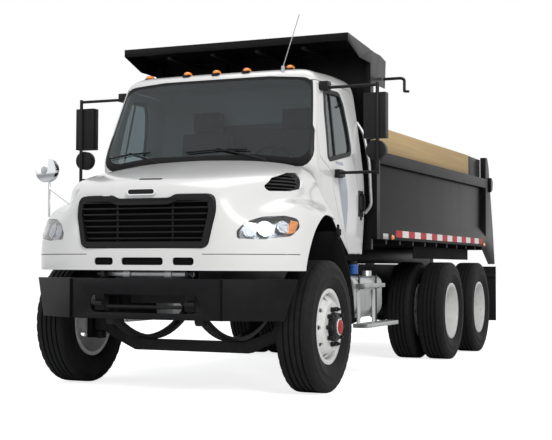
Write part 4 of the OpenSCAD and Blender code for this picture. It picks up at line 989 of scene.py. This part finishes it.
arm_x, handle_y = 1.425, 1.18
for side, name in named_sides:
    body = f"door_{name}_body"
    dress(f"mirror_{name}", black_plastic, .008, 34)
    faces = bmesh.new()
    inner, outer = side * (arm_x - .113), side * (arm_x + .053)
    plate(faces, rounded([(inner, 2.075), (outer, 2.075), (outer, 2.425), (inner, 2.425)], .02),
          "y", .6155, .6175)
    drum(faces, (side * (arm_x - .020), .601, 1.96), (side * (arm_x - .020), .606, 1.96), .074, .070, 32)
    place(faces, f"mirror_faces_{name}", chrome, body, "mirror_chrome", 40)
    spot, _ = on_cab((side * 1.4, handle_y, 1.55), (-side, 0, 0))
    recess_half = Vector((.004, .068, .115))
    boxes(f"door_recess_{name}", black_plastic, body, "black_plastic",
          [(spot - recess_half, spot + recess_half, .003)])
    fittings = bmesh.new()
    spot, _ = on_cab((side * 1.4, handle_y, 1.56), (-side, 0, 0))
    pipe(fittings, [spot + Vector((side * out, 0, up))
                    for out, up in ((0, -.085), (.032, -.06), (.032, .06), (0, .085))], .011, 10, bend=.03)
    drum(fittings, spot + Vector((0, 0, -.14)), spot + Vector((side * .008, 0, -.14)), .016)
    place(fittings, f"door_handle_{name}", black_plastic, body, "black_plastic", 40)
    # A blue-grey strip laid a hair over each door's smooth skin. It is a painted reflection and shade standing
    # in for the sky mirrored in the door's concave channel, which is not modelled.
    reflection_strip = bmesh.new()
    rows = []
    for top, low, z in ((.595, .760, 1.885), (.630, .800, 1.76), (.668, .838, 1.64),
                        (.715, .846, 1.50), (.770, .840, 1.38), (.818, .826, 1.285)):
        row = []
        for part in (0, .33, .67, 1):
            spot, facing = on_cab((side * 1.4, top + (low - top) * part, z), (-side, 0, 0))
            row.append(reflection_strip.verts.new(spot + facing * .0009))
        rows.append(row)
    for one, two in zip(rows, rows[1:]):
        for k in range(3):
            reflection_strip.faces.new([one[k], one[k + 1], two[k + 1], two[k]])
    painted_reflection_shade = (bpy.data.materials.get("painted_sky_reflection")
                   or finish("painted_sky_reflection", (0.42, 0.45, 0.50), 0.3, spread=0.03))
    place(reflection_strip, f"painted_door_reflection_{name}", painted_reflection_shade, body, "white_paint", 60)

# The liners: a barrel inside each fender's arch and a sheet on the cab's slanted corner behind it.
liners = bmesh.new()
rows = []
for i in range(25):
    turn = math.radians(-8 + i * 7.0)
    y, z = arch_centre[0] + .566 * math.cos(turn), arch_centre[1] + .566 * math.sin(turn)
    spot, _ = on_hood((1.5, y, max(z, .97)), (-1, 0, 0))
    outer = spot.x - .025 if spot is not None and spot.x > .7 else .80
    rows.append([liners.verts.new((x, y, z)) for x in (.64, outer)])
ribbon(liners, rows)
bmesh.ops.solidify(liners, geom=liners.faces, thickness=.006)
mirror_x(liners)
place(liners, "arch_liners", deep_black, "hood_body", "black_plastic", 40)
backs = bmesh.new()
for low, high in zip(wheel_house[2:], wheel_house[3:]):
    plate(backs, [(end[0] - back, end[1] - down) for end, back, down in
                  ((low, .012, .018), (low, .002, .004), (high, .002, .004), (high, .012, .018))],
          "x", .71, 1.035)
mirror_x(backs)
place(backs, "cab_corner_liners", deep_black, "chassis", "black_plastic", 40)


# ---- Cab inside ---------------------------------------------------------------------------------
# A dark dashboard with a hood over the dials, the wheel, and two cloth seats with crowned cushions.
trim_plastic = finish("trim_plastic", (0.075, 0.078, 0.082), 0.55, spread=0.1, scale=10, bump=0.3,
                      bump_scale=260)
cloth = finish("cloth", (0.10, 0.105, 0.115), 0.9, spread=0.2, scale=60, bump=0.5, bump_scale=500)
dress("dashboard", trim_plastic, .010)
dress("steering_wheel", rubber, .003, 40)


def cushion(mesh, low, high, crown, round_edge=.035):
    """A stuffed pad: its faces crowned and its sides drawn in between its corners."""
    low, high = Vector(low), Vector(high)
    made = bmesh.ops.create_cube(mesh, size=2)["verts"]
    edges = unique(edge for vert in made for edge in vert.link_edges)
    bmesh.ops.subdivide_edges(mesh, edges=edges, cuts=9, use_grid_fill=True)
    made = unique(vert for face in mesh.faces for vert in face.verts if vert in made or not vert.tag)
    middle, half = (low + high) / 2, (high - low) / 2
    for vert in made:
        vert.tag = True
        x, y, z = vert.co
        shape = vert.co.copy()
        for axis in range(3):
            others = [k for k in range(3) if k != axis]
            if abs(abs(vert.co[axis]) - 1) < 1e-4:
                bulge = (1 - vert.co[others[0]] ** 2) * (1 - vert.co[others[1]] ** 2)
                shape[axis] += math.copysign(crown / half[axis] * (bulge - .35), vert.co[axis])
        length = max(abs(x), abs(y), abs(z))
        corner = sum(1 for c in (x, y, z) if abs(c) > 1 - round_edge / min(half))
        if corner >= 2:
            shape *= 1 - .012 * corner
        vert.co = middle + Vector((shape.x * half.x, shape.y * half.y, shape.z * half.z))
    return made


seat_x = .45
for side, side_name in named_sides:
    x = side * seat_x
    boxes(f"seat_base_{side_name}", trim_plastic, "chassis", "grey_plastic",
          [((x - .18, .78, 1.15), (x + .18, 1.11, 1.41), .02)])
    pad = bmesh.new()
    cushion(pad, (x - .245, .705, 1.425), (x + .245, 1.165, 1.545), .022)
    seat_pad = place(pad, f"seat_cushion_{side_name}", cloth, "chassis", "grey_cloth", 60)
    rest = bmesh.new()
    made = cushion(rest, (x - .235, -.055, -.34), (x + .235, .055, .34), .020)
    made += cushion(rest, (x - .13, -.05, .36), (x + .13, .045, .53), .015)
    bmesh.ops.rotate(rest, cent=(x, 0, 0), matrix=Matrix.Rotation(math.radians(-6.5), 3, "X"), verts=rest.verts)
    bmesh.ops.translate(rest, vec=(0, 1.165, 1.895), verts=rest.verts)
    seat_back = place(rest, f"seat_back_{side_name}", cloth, "chassis", "grey_cloth", 60)
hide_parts("seats")


# ---- Fender mirror ------------------------------------------------------------------------------
# A round convex mirror on a bent post at the right-hand fender, held by two wire braces.
dress("fender_mirror", chrome, .002, 40)
shell_disc = bmesh.new()
made = bmesh.ops.create_uvsphere(shell_disc, u_segments=36, v_segments=16, radius=.100)["verts"]
for vert in made:
    vert.co.z *= .30
bmesh.ops.rotate(shell_disc, cent=(0, 0, 0), matrix=Matrix.Rotation(math.radians(90), 3, "X"), verts=made)
bmesh.ops.translate(shell_disc, vec=(-1.167, -.452, 1.790), verts=made)
place(shell_disc, "fender_mirror_shell", steel, "hood_body", "mirror_chrome", 60)


# ---- Steps and tanks ----------------------------------------------------------------------------
# A ribbed aluminium tank with two straps and steps in front of it, and the battery box opposite.
alloy = finish("alloy", (0.50, 0.51, 0.51), 0.36, spread=0.12, scale=8, metal=0.85, bump=0.15, streaks=True)
blue_cap = finish("blue_cap", (0.03, 0.12, 0.42), 0.3, spread=0.1)
dress("fuel_tank", alloy, .006, 36)
dress("battery_box", alloy, .006, 36)
dress("side_steps", alloy, .003, 30)
boxes("tank_straps", chassis_paint, "chassis", "tank_grey",
      [((1.098, y - .020, .50), (1.104, y + .020, .92), .002) for y in (1.02, 1.50)])
filler = bmesh.new()
drum(filler, (.93, 1.30, .95), (.93, 1.30, 1.03), .050, .050, 32)
drum(filler, (.93, 1.30, 1.03), (.93, 1.30, 1.045), .056, .050, 32)
place(filler, "tank_filler", chassis_paint, "chassis", "tank_grey")
blue = bmesh.new()
drum(blue, (1.02, 1.12, .93), (1.02, 1.12, 1.00), .035, .035, 32)
drum(blue, (1.02, 1.12, 1.00), (1.02, 1.12, 1.012), .042, .036, 32)
place(blue, "blue_cap", blue_cap, "chassis", "tank_grey")


# ---- Dump body ----------------------------------------------------------------------------------
# Welded steel sheet in gloss black with reflective tape along the rub rail, marker lamps,
# a plain plate, plywood boards in the pockets and a tarp roller across the cab shield.
body_paint = finish("body_paint", (0.005, 0.005, 0.005), 0.34, spread=0.3, scale=3, bump=0.06,
                    dust=(0.009, 0.008, 0.008), streaks=True, specular=0.14)
for name in ("bed_floor", "bed_crossmembers", "bed_sills"):
    dress(name, body_paint, .003)
for name in ("bed_sides", "bed_front"):
    dress(name, body_paint, .006)
plywood = finish("plywood", (0.62, 0.44, 0.22), 0.7, spread=0.16, scale=3, bump=0.2)
for node in plywood.node_tree.nodes:
    if node.bl_idname == "ShaderNodeMapping":
        put(node, Scale=(1, .22, 9))
dress("sideboards", plywood, .002)
dress("tarp_roller", chassis_paint, .003, 34)

red_tape = finish("red_tape", (0.55, 0.006, 0.010), 0.4, spread=0.1, scale=40, specular=0.15)
white_tape = finish("white_tape", (0.80, 0.80, 0.80), 0.3, spread=0.05, scale=40, coat=0.4)
side_wall_x = 1.1545
tape_start, tape_end, tape_low, tape_high, tape_count, tape_gap = 1.950, 5.606, 1.272, 1.336, 17, .002
pitch = (tape_end - tape_start) / tape_count
for first, name, paint in ((0, "tape_red", red_tape), (1, "tape_white", white_tape)):
    boxes(name, paint, "dump_body", "body_black",
          [((side_wall_x, tape_start + i * pitch, tape_low),
            (side_wall_x + .0015, tape_start + i * pitch + pitch - tape_gap, tape_high))
           for i in range(first, tape_count, 2)], mirrored=True)
boxes("side_plates", alloy, "dump_body", "body_black",
      [((side_wall_x, 1.541, 1.247), (side_wall_x + .003, 1.700, 1.297), .001)], mirrored=True)
markers = bmesh.new()
for y in (1.83, 5.66):
    drum(markers, (1.154, y, 1.268), (1.170, y, 1.268), .024, .018, 24)
mirror_x(markers)
place(markers, "side_markers", amber, "dump_body", "body_black", 50)

# The tarp's crank, the shield's stiffeners and the strip under it, and the rear tyres' shields.
crank = bmesh.new()
pipe(crank, [(1.10, 1.740, 2.740), (1.270, 1.740, 2.740), (1.300, 1.740, 2.725), (1.300, 1.740, 2.610)],
     .014, 10, bend=.03)
pipe(crank, [(1.300, 1.740, 2.615), (1.345, 1.740, 2.612)], .012, 10)
place(crank, "tarp_crank", chassis_paint, "dump_body", "chassis_black", 40)
boxes("shield_ribs", body_paint, "dump_body", "body_black",
      [((x - .02, .80, 2.895), (x + .02, 1.62, 2.925), .004) for x in (-.66, -.22, .22, .66)]
      + [((-1.080, 1.419, 2.928), (1.080, 1.453, 2.951))])
boxes("tyre_shields", rubber, "dump_body", "body_black",
      [((.930, 3.30, 1.080), (.938, 5.74, 1.214), .002)], mirrored=True)


# ---- Tailgate -----------------------------------------------------------------------------------
# The swinging rear panel in the same black, with round red lamps in two boxes on the chassis below it.
dress("tailgate", body_paint, .005)
tail_red, tail_boxes = bmesh.new(), bmesh.new()
for x in (-.52, .52):
    block(tail_boxes, (x - .17, 6.000, .80), (x + .17, 6.030, .92), .006)
    for offset in (-.09, .09):
        drum(tail_red, (x + offset, 6.028, .86), (x + offset, 6.044, .86), .048, .042, 32)
place(tail_boxes, "tail_lamp_boxes", chassis_paint, "chassis", "chassis_black")
place(tail_red, "tail_lamps", red_paint, "chassis", "chassis_black", 50)
